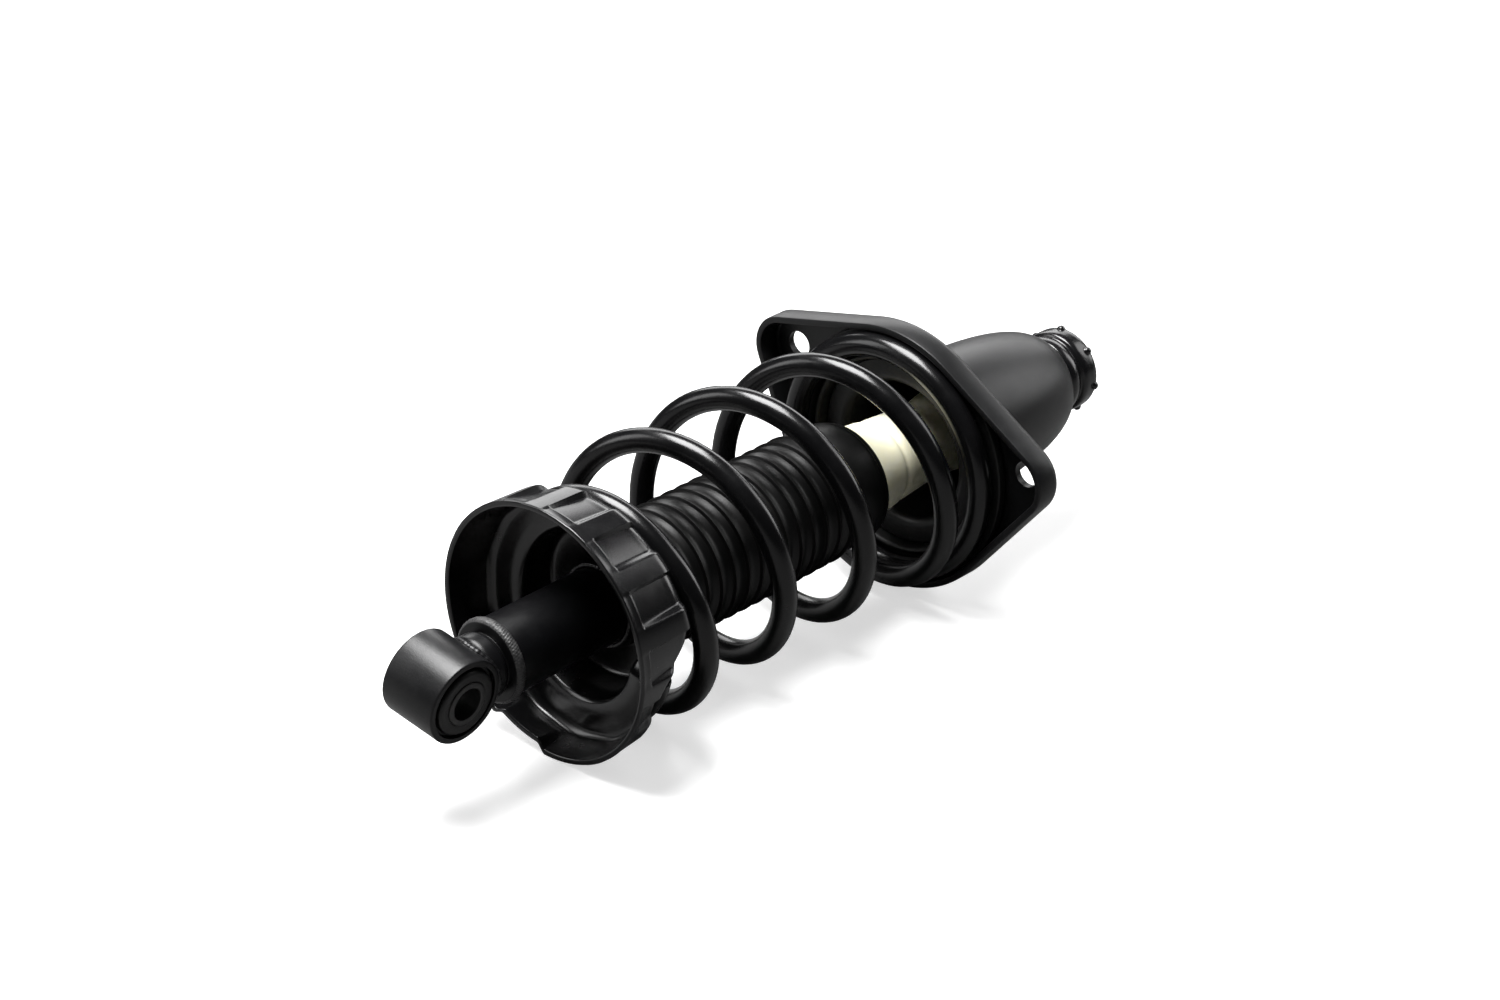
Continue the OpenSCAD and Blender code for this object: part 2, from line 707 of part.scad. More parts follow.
module oil_seal() {
    color(rubber_black) on_axis(seal_z) rotate_extrude() polygon([
        [rod_r + run_gap, 0], [tube_in_r - bond_gap, 0], [tube_in_r - bond_gap, seal_h - 0.2],
        [rod_r + 3, seal_h - 0.2], [rod_r + run_gap, seal_h - 1.6]
    ]);
}

module rod_guide() {
    color(sintered) on_axis(guide_z) rotate_extrude() polygon([
        [rod_r + run_gap, 0], [bore_r - bond_gap, 0], [bore_r - bond_gap, spigot_h],
        [tube_in_r - bond_gap, spigot_h], [tube_in_r - bond_gap, guide_h],
        [rod_r + run_gap, guide_h]
    ]);
}

module working_cylinder() {
    color(steel) on_axis(bore_z) tube(bore_r + bore_t, bore_r, guide_z + spigot_h - bore_z);
}

module foot_valve() {
    color(sintered) on_axis(valve_z) difference() {
        union() {
            cylinder(r = bore_r + bore_t, h = valve_h);
            translate([0, 0, valve_h - eps]) cylinder(r = bore_r - bond_gap, h = 1);
        }
        for (k = [0:port_count - 1]) rotate([0, 0, k * 360 / port_count])
            translate([bore_r / 2, 0, -1]) cylinder(r = 1.2, h = valve_h + 3);
    }
}

module reserve_tube() {
    color(satin_black) on_axis() rotate_extrude() polygon([
        [tube_in_r, tube_z], [tube_r, tube_z], [tube_r, tube_top_z], [rod_r + 4, tube_top_z],
        [rod_r + 4, tube_top_z - lip_t], [tube_in_r, tube_top_z - lip_t]
    ]);
}

module tube_foot() {
    ring_z = tube_z - foot_ring_h;
    color(satin_black) difference() {
        on_axis() rotate_extrude() polygon([
            [0, eye_z + 8], [neck_foot_r - 2.2, eye_z + 8], [neck_foot_r - 1.6, eye_z + eye_r - 4],
            [neck_foot_r, eye_z + eye_r - 2.4], [neck_foot_r, ring_z - 2.4],
            [neck_foot_r - 0.5, ring_z - 1.7], [neck_foot_r - 1.6, ring_z - 1.2],
            [neck_foot_r - 1.6, ring_z], [foot_ring_r - 1, ring_z], [foot_ring_r, ring_z + 1],
            [foot_ring_r, tube_z - 1], [foot_ring_r - 0.4, tube_z - 0.3], [tube_r, tube_z],
            [tube_in_r - bond_gap, tube_z], [tube_in_r - bond_gap, tube_z + plug_h],
            [0, tube_z + plug_h]
        ]);
        translate([-neck_foot_r - 1, axis_offset, eye_z]) rotate([0, 90, 0])
            cylinder(r = eye_r + bond_gap, h = 2 * neck_foot_r + 2);
    }
}

// ---- Lower spring seat ----

rib_samples = 9;
seat_columns = rib_count * rib_samples;
ramp_down = 0.92;
shoulder = 7;
shoulder_r = end_turn_r + 2.6;
collar_h = 7;

// Height of the seat face: it climbs with the spring's end turn, then drops back to its start.
function face_z(a) = let (u = ((a - tip_angle) / 360) % 1, w = u < 0 ? u + 1 : u)
    seat_z + lead * min(w, ramp_down) * (1 - smooth((w - ramp_down) / (1 - ramp_down)));

function rib_wave(a) = max(0, min(1, (cos(rib_count * a) + 0.2) / 0.9));
function dent(a) = smooth((16 - abs(a - dent_angle)) / 3);

// Outside radius of the wall: v runs from 0 at the rim to 1 at the shoulder.
function wall_r(a, v) = seat_wall_r - wall_taper * v + rib_h * rib_wave(a) * (1 - 0.35 * v)
    - dent_depth * dent(a) * (1 - v);

function wall_z(a, v) = rim_z + v * (face_z(a) - shoulder - rim_z);

// Rounded shoulder between the wall and the seat face, for an outside or inside skin drawn in.
function shoulder_skin(a, in) = [for (b = [90:-32.5:25]) [
    shoulder_r + (wall_r(a, 1) - in - shoulder_r) * cos(b),
    face_z(a) - shoulder + (shoulder - in) * sin(b)]];

function seat_section(a) = let (z = face_z(a), bore = tube_r + bond_gap + 0.02, t = seat_t) concat(
    [for (v = [0, 0.35, 0.7, 1]) [wall_r(a, v), wall_z(a, v)]],
    reversed(shoulder_skin(a, 0)),
    [
        [pilot_r + 1.3, z], [pilot_r + 0.3, z + 0.9], [pilot_r - 0.8, pilot_z - 3],
        [pilot_r - 1.8, pilot_z - 0.9], [pilot_r - 4, pilot_z],
        [bore + 2, pilot_z], [bore, pilot_z - 1.6], [bore, pilot_z - t - collar_h],
        [bore + t, pilot_z - t - collar_h], [bore + t, pilot_z - t - 1.6],
        [bore + t + 1.6, pilot_z - t], [pilot_r - 5, pilot_z - t],
        [pilot_r - t - 1.4, pilot_z - t - 1], [pilot_r - t - 0.8, max(z + 0.4, pilot_z - 14)],
        [pilot_r - t + 0.6, z - t + 0.6], [pilot_r - 0.4, z - t]
    ],
    shoulder_skin(a, t),
    [for (v = [1, 0.7, 0.35, 0]) [wall_r(a, v) - t, wall_z(a, v)]]
);

module lower_spring_seat() {
    color(satin_black) on_axis() looped([for (k = [0:seat_columns - 1])
        let (a = 360 * k / seat_columns)
        [for (p = seat_section(a)) [p[0] * cos(a), p[0] * sin(a), p[1]]]]);
}

// ---- Upper pad and lower eye ----

module upper_spring_pad() {
    inner = coil_r - wire_r - 2 * pad_lip / 3;
    outer = core_r - sheet_t - seat_gap;
    color(rubber_black) on_axis() rotate_extrude() polygon([
        [inner - 1, -sheet_t], [inner - 1, pad_z - pad_lip + 1], [inner, pad_z - pad_lip],
        [inner + 1, pad_z - pad_lip], [inner + 1.7, pad_z], [outer, pad_z],
        [outer, -bend_r], [outer + sheet_t - bend_r, -sheet_t]
    ]);
}

module eye_tube(r_out, r_in, w) {
    translate([-w / 2, axis_offset, eye_z]) rotate([0, 90, 0]) tube(r_out, r_in, w);
}

module lower_eye() {
    color(satin_black) eye_tube(eye_r, eye_r - eye_t, eye_w);
}

sleeve_r = bolt_d / 2 + sleeve_t;

module eye_bush() {
    outer = eye_r - eye_t - bond_gap;
    inner = sleeve_r + run_gap;
    face = sleeve_w / 2 - 0.4;
    sunk = eye_w / 2 - 2;
    color(rubber_black) translate([0, axis_offset, eye_z]) rotate([0, 90, 0])
        rotate_extrude() polygon([
            [inner, -face], [bush_face_r - 0.8, -face], [bush_face_r, 0.8 - face],
            [bush_face_r, -sunk], [outer, -sunk], [outer, sunk], [bush_face_r, sunk],
            [bush_face_r, face - 0.8], [bush_face_r - 0.8, face], [inner, face]
        ]);
}

module eye_sleeve() {
    color(steel) eye_tube(sleeve_r, bolt_d / 2, sleeve_w);
}

mount_flange();
mount_dome();
upper_spring_pad();
bush_shell();
top_bush();
bush_sleeve();
top_washer();
rod_nut();
top_cap();
cup_washer();
bump_stop();
dust_boot();
coil_spring();
piston_rod();
rebound_stop();
upper_shims();
piston();
piston_band();
lower_shims();
piston_nut();
strike_plate();
oil_seal();
rod_guide();
working_cylinder();
foot_valve();
reserve_tube();
tube_foot();
lower_spring_seat();
lower_eye();
eye_bush();
eye_sleeve();
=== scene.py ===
import math

import bmesh
import bpy
import numpy as np
from mathutils import Matrix, Vector

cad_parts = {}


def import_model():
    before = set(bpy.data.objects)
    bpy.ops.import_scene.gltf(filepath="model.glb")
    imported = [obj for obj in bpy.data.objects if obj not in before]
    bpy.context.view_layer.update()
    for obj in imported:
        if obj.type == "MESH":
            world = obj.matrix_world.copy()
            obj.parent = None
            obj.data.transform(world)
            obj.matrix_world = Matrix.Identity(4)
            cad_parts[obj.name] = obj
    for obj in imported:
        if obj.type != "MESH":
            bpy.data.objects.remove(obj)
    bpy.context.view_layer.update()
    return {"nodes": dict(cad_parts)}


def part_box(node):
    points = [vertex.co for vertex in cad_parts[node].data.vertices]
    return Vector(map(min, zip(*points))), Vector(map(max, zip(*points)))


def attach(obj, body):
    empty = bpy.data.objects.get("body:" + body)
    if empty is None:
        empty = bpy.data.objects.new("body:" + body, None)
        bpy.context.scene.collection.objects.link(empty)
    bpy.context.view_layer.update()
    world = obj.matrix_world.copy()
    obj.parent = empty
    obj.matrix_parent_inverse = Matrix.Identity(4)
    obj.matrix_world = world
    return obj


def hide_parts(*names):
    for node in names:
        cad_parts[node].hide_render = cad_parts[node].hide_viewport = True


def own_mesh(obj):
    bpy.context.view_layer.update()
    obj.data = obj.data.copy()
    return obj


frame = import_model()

nodes = frame["nodes"]

# Sizes below are in millimetres, in the strut's own frame: Z runs up along the strut, and
# the mounting holes lie on X. A mesh is scaled to metres when it is made.
MM = 0.001


def span(node):
    """Lowest and highest corner of a CAD node, in millimetres."""
    low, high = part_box(node)
    return np.array(low) / MM, np.array(high) / MM


# ---------------------------------------------------------------- places from the frame

boot_low, boot_high = span("dust_boot")
seat_low, seat_high = span("lower_spring_seat")
flange_low, flange_high = span("mount_flange")
dome_low, dome_high = span("mount_dome")
cap_low, cap_high = span("top_cap")
eye_low, eye_high = span("lower_eye")
tube_low, tube_high = span("reserve_tube")
stop_low, stop_high = span("bump_stop")
spring_low, spring_high = span("coil_spring")

axis_y = (boot_low[1] + boot_high[1]) / 2
eye_z = (eye_low[2] + eye_high[2]) / 2
eye_r = (eye_high[2] - eye_low[2]) / 2


# ---------------------------------------------------------------- mesh helpers

def smooth(x):
    """Rises from 0 to 1 with level ends: 3x^2 - 2x^3, x held between 0 and 1."""
    x = np.clip(x, 0, 1)
    return x * x * (3 - 2 * x)


def rounded(corners, steps=5, closed=True):
    """Outline through corners (r, z, radius). Each corner becomes a parabola that leaves one
    edge and meets the next at the corner's radius from it: (1-t)^2 A + 2t(1-t) P + t^2 B."""
    corners = [tuple(c) + (0,) * (3 - len(c)) for c in corners]
    points, last = [], len(corners) - 1
    for k, (r, z, radius) in enumerate(corners):
        corner = np.array([r, z], float)
        if radius == 0 or (not closed and k in (0, last)):
            points.append(corner)
            continue
        before = np.array(corners[k - 1][:2], float) - corner
        after = np.array(corners[(k + 1) % len(corners)][:2], float) - corner
        near = [min(radius, 0.48 * np.linalg.norm(e)) / np.linalg.norm(e) for e in (before, after)]
        start, end = corner + before * near[0], corner + after * near[1]
        for t in np.linspace(0, 1, steps):
            points.append((1 - t) ** 2 * start + 2 * t * (1 - t) * corner + t * t * end)
    return np.array(points)


def skin(name, points, loop_u=True, loop_v=True, sharp=38):
    """Closed or open skin over a grid of points, in millimetres. It closes into a ring along
    each direction that loops, and corners sharper than the angle stay sharp."""
    nu, nv = points.shape[:2]
    i, j = np.meshgrid(np.arange(nu if loop_u else nu - 1), np.arange(nv if loop_v else nv - 1),
                       indexing="ij")
    k, l = (i + 1) % nu, (j + 1) % nv
    quads = np.stack([i * nv + j, k * nv + j, k * nv + l, i * nv + l], -1).reshape(-1, 4)
    return mesh_piece(name, points.reshape(-1, 3), quads, sharp)


def mesh_piece(name, points, faces, sharp):
    """Object at the origin from points in millimetres, with doubled points merged."""
    mesh = bpy.data.meshes.new(name)
    mesh.from_pydata((points * MM).tolist(), [], faces.tolist())
    made = bmesh.new()
    made.from_mesh(mesh)
    bmesh.ops.remove_doubles(made, verts=made.verts, dist=1e-6)
    made.to_mesh(mesh)
    made.free()
    mesh.shade_smooth()
    mesh.set_sharp_from_angle(angle=math.radians(sharp))
    piece = bpy.data.objects.new(name, mesh)
    bpy.context.scene.collection.objects.link(piece)
    return piece


def turned_points(profile, sides=144):
    """Grid of an outline (r, z) turned about the strut's axis."""
    a = np.linspace(0, 2 * np.pi, sides, endpoint=False)[:, None]
    r, z = profile[:, 0][None], profile[:, 1][None]
    return np.stack([r * np.cos(a), axis_y + r * np.sin(a), z + 0 * a], -1)


def turned(name, profile, sides=144):
    """Outline turned about the strut's axis."""
    return skin(name, turned_points(profile, sides))


def turned_across(name, profile):
    """Outline (r, x) turned about the lower eye's axis, which runs along X."""
    a = np.linspace(0, 2 * np.pi, 120, endpoint=False)[:, None]
    r, x = profile[:, 0][None], profile[:, 1][None]
    points = np.stack([x + 0 * a, axis_y + r * np.cos(a), eye_z + r * np.sin(a)], -1)
    return skin(name, points)


def swept(name, path, radius, sides):
    """Tube round a closed path: each ring stands square to the path's own direction."""
    ahead = np.roll(path, -1, 0) - np.roll(path, 1, 0)
    ahead /= np.linalg.norm(ahead, axis=1)[:, None]
    side = np.cross(ahead, [0, 0, 1.0])
    side /= np.linalg.norm(side, axis=1)[:, None]
    up = np.cross(side, ahead)
    b = np.linspace(0, 2 * np.pi, sides, endpoint=False)
    ring = np.cos(b)[None, :, None] * side[:, None] + np.sin(b)[None, :, None] * up[:, None]
    points = path[:, None] + ring * np.broadcast_to(radius, len(path))[:, None, None]
    return skin(name, points, sharp=60)


# ---------------------------------------------------------------- finishes

def noise(tree, place, scale, detail=4.0, rough=0.6):
    """Noise over the piece's own place, and its factor output."""
    made = tree.nodes.new("ShaderNodeTexNoise")
    made.inputs["Scale"].default_value = scale
    made.inputs["Detail"].default_value = detail
    made.inputs["Roughness"].default_value = rough
    tree.links.new(place, made.inputs["Vector"])
    return made.outputs["Fac"]


def spread(tree, value, low, high, start, end):
    """Maps a factor from start..end onto low..high."""
    made = tree.nodes.new("ShaderNodeMapRange")
    made.inputs["From Min"].default_value = start
    made.inputs["From Max"].default_value = end
    made.inputs["To Min"].default_value = low
    made.inputs["To Max"].default_value = high
    tree.links.new(value, made.inputs["Value"])
    return made.outputs["Result"]


def blend_colour(tree, factor, first, second):
    """Mixes two colours by a factor."""
    made = tree.nodes.new("ShaderNodeMix")
    made.data_type = "RGBA"
    made.inputs["A"].default_value = (*first, 1)
    made.inputs["B"].default_value = (*second, 1)
    tree.links.new(factor, made.inputs["Factor"])
    return made.outputs["Result"]


def finish(name, colour, patch, roughness, patch_roughness, grain, bump, patch_scale=60,
           metallic=0.0, specular=0.5, subsurface=0.0):
    """Surface whose colour and roughness drift between two values in soft patches, over a fine
    grain that lifts the surface by the bump height in millimetres."""
    made = bpy.data.materials.new(name)
    made.use_nodes = True
    tree = made.node_tree
    shader = tree.nodes["Principled BSDF"]
    place = tree.nodes.new("ShaderNodeTexCoord").outputs["Object"]
    patches = spread(tree, noise(tree, place, patch_scale), 0, 1, 0.45, 0.75)
    tree.links.new(blend_colour(tree, patches, colour, patch), shader.inputs["Base Color"])
    tree.links.new(spread(tree, patches, roughness, patch_roughness, 0, 1),
                   shader.inputs["Roughness"])
    lift = tree.nodes.new("ShaderNodeBump")
    lift.inputs["Distance"].default_value = bump * MM
    lift.inputs["Strength"].default_value = 1.0
    tree.links.new(noise(tree, place, grain, 6.0, 0.65), lift.inputs["Height"])
    tree.links.new(lift.outputs["Normal"], shader.inputs["Normal"])
    shader.inputs["Metallic"].default_value = metallic
    shader.inputs["Specular IOR Level"].default_value = specular
    if subsurface:
        shader.inputs["Subsurface Weight"].default_value = subsurface
        shader.inputs["Subsurface Radius"].default_value = (0.008, 0.0075, 0.005)
    return made


powder_coat = finish("powder_coat", (0.005, 0.005, 0.0054), (0.008, 0.008, 0.0084), 0.36, 0.46,
                     1500, 0.05, patch_scale=35, specular=0.32)
seat_coat = finish("seat_coat", (0.0035, 0.0035, 0.0039), (0.006, 0.006, 0.0064), 0.21, 0.3,
                   1300, 0.008, patch_scale=45, specular=0.5)
spring_enamel = finish("spring_enamel", (0.003, 0.003, 0.0033), (0.005, 0.005, 0.0054), 0.2, 0.3,
                       900, 0.03, patch_scale=55, specular=0.38)
tube_enamel = finish("tube_enamel", (0.003, 0.003, 0.0034), (0.005, 0.005, 0.0054), 0.3, 0.4,
                     1200, 0.04, specular=0.24)
eye_enamel = finish("eye_enamel", (0.006, 0.006, 0.0065), (0.009, 0.009, 0.0095), 0.34, 0.44,
                    1600, 0.05, specular=0.32)
cap_rubber = finish("cap_rubber", (0.004, 0.004, 0.0045), (0.007, 0.007, 0.0072), 0.2, 0.3, 1100,
                    0.03)
boot_rubber = finish("boot_rubber", (0.0022, 0.0022, 0.0022), (0.004, 0.0038, 0.0037), 0.36,
                     0.46, 900, 0.03, patch_scale=40, specular=0.2)
pad_rubber = finish("pad_rubber", (0.004, 0.004, 0.004), (0.007, 0.007, 0.0068), 0.5, 0.62, 900,
                    0.06, specular=0.38)
eye_rubber = finish("eye_rubber", (0.006, 0.006, 0.006), (0.011, 0.011, 0.0108), 0.4, 0.52, 1000,
                    0.05, specular=0.38)
stop_foam = finish("stop_foam", (0.91, 0.875, 0.65), (0.94, 0.915, 0.74), 0.52, 0.62, 2200, 0.12,
                   patch_scale=70, subsurface=0.3)
sleeve_steel = finish("sleeve_steel", (0.055, 0.055, 0.055), (0.09, 0.088, 0.085), 0.42, 0.55,
                      2500, 0.03, patch_scale=150, metallic=0.7)
bright_steel = finish("bright_steel", (0.5, 0.5, 0.49), (0.42, 0.41, 0.39), 0.3, 0.42, 2400, 0.02,
                      patch_scale=160, metallic=1.0)
grey_iron = finish("grey_iron", (0.2, 0.2, 0.2), (0.14, 0.14, 0.14), 0.55, 0.7, 1800, 0.08,
                   metallic=0.8)
rod_chrome = finish("rod_chrome", (0.62, 0.63, 0.65), (0.56, 0.57, 0.59), 0.08, 0.14, 3000, 0.004,
                    metallic=1.0)
weld_scale = finish("weld_scale", (0.024, 0.024, 0.0245), (0.042, 0.041, 0.04), 0.42, 0.6, 2600,
                    0.15, patch_scale=300)
cup_enamel = finish("cup_enamel", (0.009, 0.009, 0.0095), (0.015, 0.015, 0.015), 0.4, 0.5, 1400,
                    0.05)
band_resin = finish("band_resin", (0.05, 0.04, 0.03), (0.07, 0.055, 0.04), 0.4, 0.5, 1500, 0.03)


def place(piece, body, stands_for, slot, material):
    """Rides the piece on its body in place of a CAD node, with its finish; the slot is not used."""
    piece.data.materials.append(material)
    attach(piece, body)
    if stands_for:
        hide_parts(stands_for)
    return piece


# ---------------------------------------------------------------- coil spring

coil_r = 52.5
wire_r = 5.35
turns = 5.35
tip_angle = math.radians(8)
lead = 18.6
flat_rise = 1.0
lift_off = (0.7, 1.05)
draw_in = 6.8
spread_out = (0.78, 1.02)
settle = (turns - 1.2, turns - 0.8)
bow = 5.9
bow_angle = math.radians(201)
bow_end = turns - 0.35


def ramp(t, start, end):
    """Integral of a slope that grows from 0 to 1 between two places along the wire."""
    t = np.asarray(t, float)
    rising = np.clip(t - start, 0, end - start)
    return rising ** 2 / (2 * (end - start)) + np.clip(t - end, 0, None)


def spring_centre(t):
    """Middle of the wire after t turns. Its height is lead t for the end turn, then climbs at
    one pitch, then flattens under the mount, and its middle turns bow to one side by
    bow sin^2(pi t / bow_end). The lower end turn runs on a smaller radius."""
    low, high = spring_low[2] + wire_r, spring_high[2] - wire_r
    climb = (high - low - lead * turns + lead * ramp(turns, *lift_off)
             - flat_rise * ramp(turns, *settle))
    pitch = climb / (ramp(turns, *lift_off) - ramp(turns, *settle))
    a = tip_angle + 2 * np.pi * t
    b = np.where(t < bow_end, bow * np.sin(np.pi * np.clip(t, 0, bow_end) / bow_end) ** 2, 0)
    z = (low + lead * t + (pitch - lead) * ramp(t, *lift_off)
         + (flat_rise - pitch) * ramp(t, *settle))
    r = coil_r - draw_in * (1 - smooth((t - spread_out[0]) / (spread_out[1] - spread_out[0])))
    return np.stack([r * np.cos(a) + b * math.cos(bow_angle),
                     axis_y + r * np.sin(a) + b * math.sin(bow_angle), z], -1)


def spring_wire(name, start, end, count):
    """Wire of round section between two places along the spring, with each ring square to the
    wire. A free end of the spring is bevelled."""
    bevel = np.array([0, 0, 0.1, 0.4, 0.9]) / (2 * np.pi * coil_r)
    shrink = np.array([0, 0.9, 0.96, 0.99, 1])
    cut = np.array([0, 1.0])
    first = (start + bevel, shrink) if start == 0 else (start + 0 * cut, cut)
    last = (end - bevel[::-1], shrink[::-1]) if end == turns else (end + 0 * cut, cut[::-1])
    t = np.concatenate([first[0], np.linspace(start, end, count + 2)[1:-1], last[0]])
    size = np.concatenate([first[1], np.ones(count), last[1]]) * wire_r
    step = 1e-3
    ahead = spring_centre(t + step) - spring_centre(t - step)
    ahead /= np.linalg.norm(ahead, axis=1)[:, None]
    a = tip_angle + 2 * np.pi * t
    out = np.stack([np.cos(a), np.sin(a), 0 * a], -1)
    up = np.cross(out, ahead)
    up /= np.linalg.norm(up, axis=1)[:, None]
    out = np.cross(ahead, up)
    b = np.linspace(0, 2 * np.pi, 28, endpoint=False)[None, :, None]
    ring = np.cos(b) * out[:, None] + np.sin(b) * up[:, None]
    points = spring_centre(t)[:, None] + ring * size[:, None, None]
    return skin(name, points, loop_u=False, sharp=50)


# The end turn lies on its seat and rides with it, and the rest of the spring rides with the mount.
seated_turn = 0.88
place(spring_wire("spring_end_turn", 0, seated_turn, 80), "damper", "coil_spring",
      "spring_paint", spring_enamel)
spring = place(spring_wire("spring_wire", seated_turn, turns, 380), "mount", "coil_spring",
               "spring_paint", spring_enamel)
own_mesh(spring)


# ---------------------------------------------------------------- dust boot

boot_r = (boot_high[0] - boot_low[0]) / 2
boot_wall = 1.2
rib_depth = 2.1
rib_count = 14
boot_foot = 4.5
collar_h = 24.7
round_h = 8.5
stop_r = (stop_high[0] - stop_low[0]) / 2


def dust_boot():
    """Turned bellows: nearly flat bands with a narrow lip along each crest. With w the distance
    from the crest in half pitches, a rib falls by 0.6 smooth(w / 0.16) + 0.4 smooth(w). The
    crests sway a little, and two shallow grooves run round the shoulder."""
    low, top = boot_low[2], boot_high[2]
    first, last = low + boot_foot, top - collar_h
    pitch = (last - first) / rib_count
    side_r, end_r = boot_r - 0.7 * rib_depth, stop_r + 1.3

    def rib_rows(steps):
        w = np.array(steps[::-1] + steps[1:-1])
        reach = np.array([-k for k in steps[::-1]] + steps[1:-1]) / 2
        fall = 0.6 * smooth(w / 0.16) + 0.4 * smooth(w)
        rows = [np.stack([boot_r - rib_depth * fall, first + pitch * (k + 0.5 + reach)], -1)
                for k in range(rib_count)]
        return np.concatenate([*rows, [[boot_r - rib_depth, last]]])

    ribs = rib_rows([0, 0.03, 0.06, 0.09, 0.12, 0.16, 0.3, 0.45, 0.6, 0.8, 1])
    back = rib_rows([0, 0.08, 0.16, 0.5, 0.8, 1])
    b = np.radians(np.linspace(0, 84, 28))
    groove = 0.6 * np.exp(-((b - 0.55) / 0.1) ** 2) + 0.5 * np.exp(-((b - 1.05) / 0.1) ** 2)
    shoulder = np.stack([end_r + (side_r - end_r - groove) * np.cos(b),
                         top - round_h + (round_h - groove) * np.sin(b)], -1)
    outside = np.concatenate([
        [[ribs[0, 0] - 0.6, low], [ribs[0, 0], low + 0.6], [ribs[0, 0], first - 0.5]], ribs,
        [[side_r - 2.0, last + 1.2], [side_r - 0.6, last + 2.8], [side_r, last + 5]], shoulder,
        [[end_r - 0.5, top]]])
    inside = np.concatenate([
        [[stop_r - 2.1, top], [stop_r - 2.1, top - 3.5], [stop_r - 0.9, top - 3.5],
         [stop_r - 0.9, top - 4.5], [side_r - boot_wall - 1.6, top - round_h + 2.4],
         [side_r - boot_wall, top - round_h - 0.5], [side_r - boot_wall, last + 5],
         [side_r - boot_wall - 0.6, last + 2.8]],
        back[::-1] - [boot_wall, 0], [[back[0, 0] - boot_wall - 0.4, low]]])
    points = turned_points(np.concatenate([outside, inside]), 180)
    a = np.linspace(0, 2 * np.pi, 180, endpoint=False)[:, None]
    middle = np.sin(np.pi * np.clip((points[..., 2] - low) / (top - low), 0, 1))
    sway = 0.35 * middle * np.sin(2 * a + 0.6) + 0.2 * middle * np.sin(3 * a + points[..., 2] / 17)
    points[..., 0] += sway * np.cos(a)
    points[..., 1] += sway * np.sin(a)
    points[..., 2] += 0.3 * middle * np.sin(a + points[..., 2] / 29)
    return skin("boot_bellows", points)


boot = place(dust_boot(), "mount", "dust_boot", "boot_rubber", boot_rubber)
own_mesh(boot)


# ---------------------------------------------------------------- lower spring seat

seat_t = 2.6
wall_r = coil_r + 2.7
end_turn_r = coil_r - draw_in
pilot_r = end_turn_r - wire_r - 1.95
panel_count = 14
rib_h = 2.0
shoulder = 7.0
shoulder_r = end_turn_r + 2.6
dent_depth = 4.2
dent_at = math.radians(98)
seat_face = eye_z + 72
seat_rim = seat_low[2]
seat_top = seat_high[2]
tube_r = (tube_high[0] - tube_low[0]) / 2
collar_low = seat_top - seat_t - 7


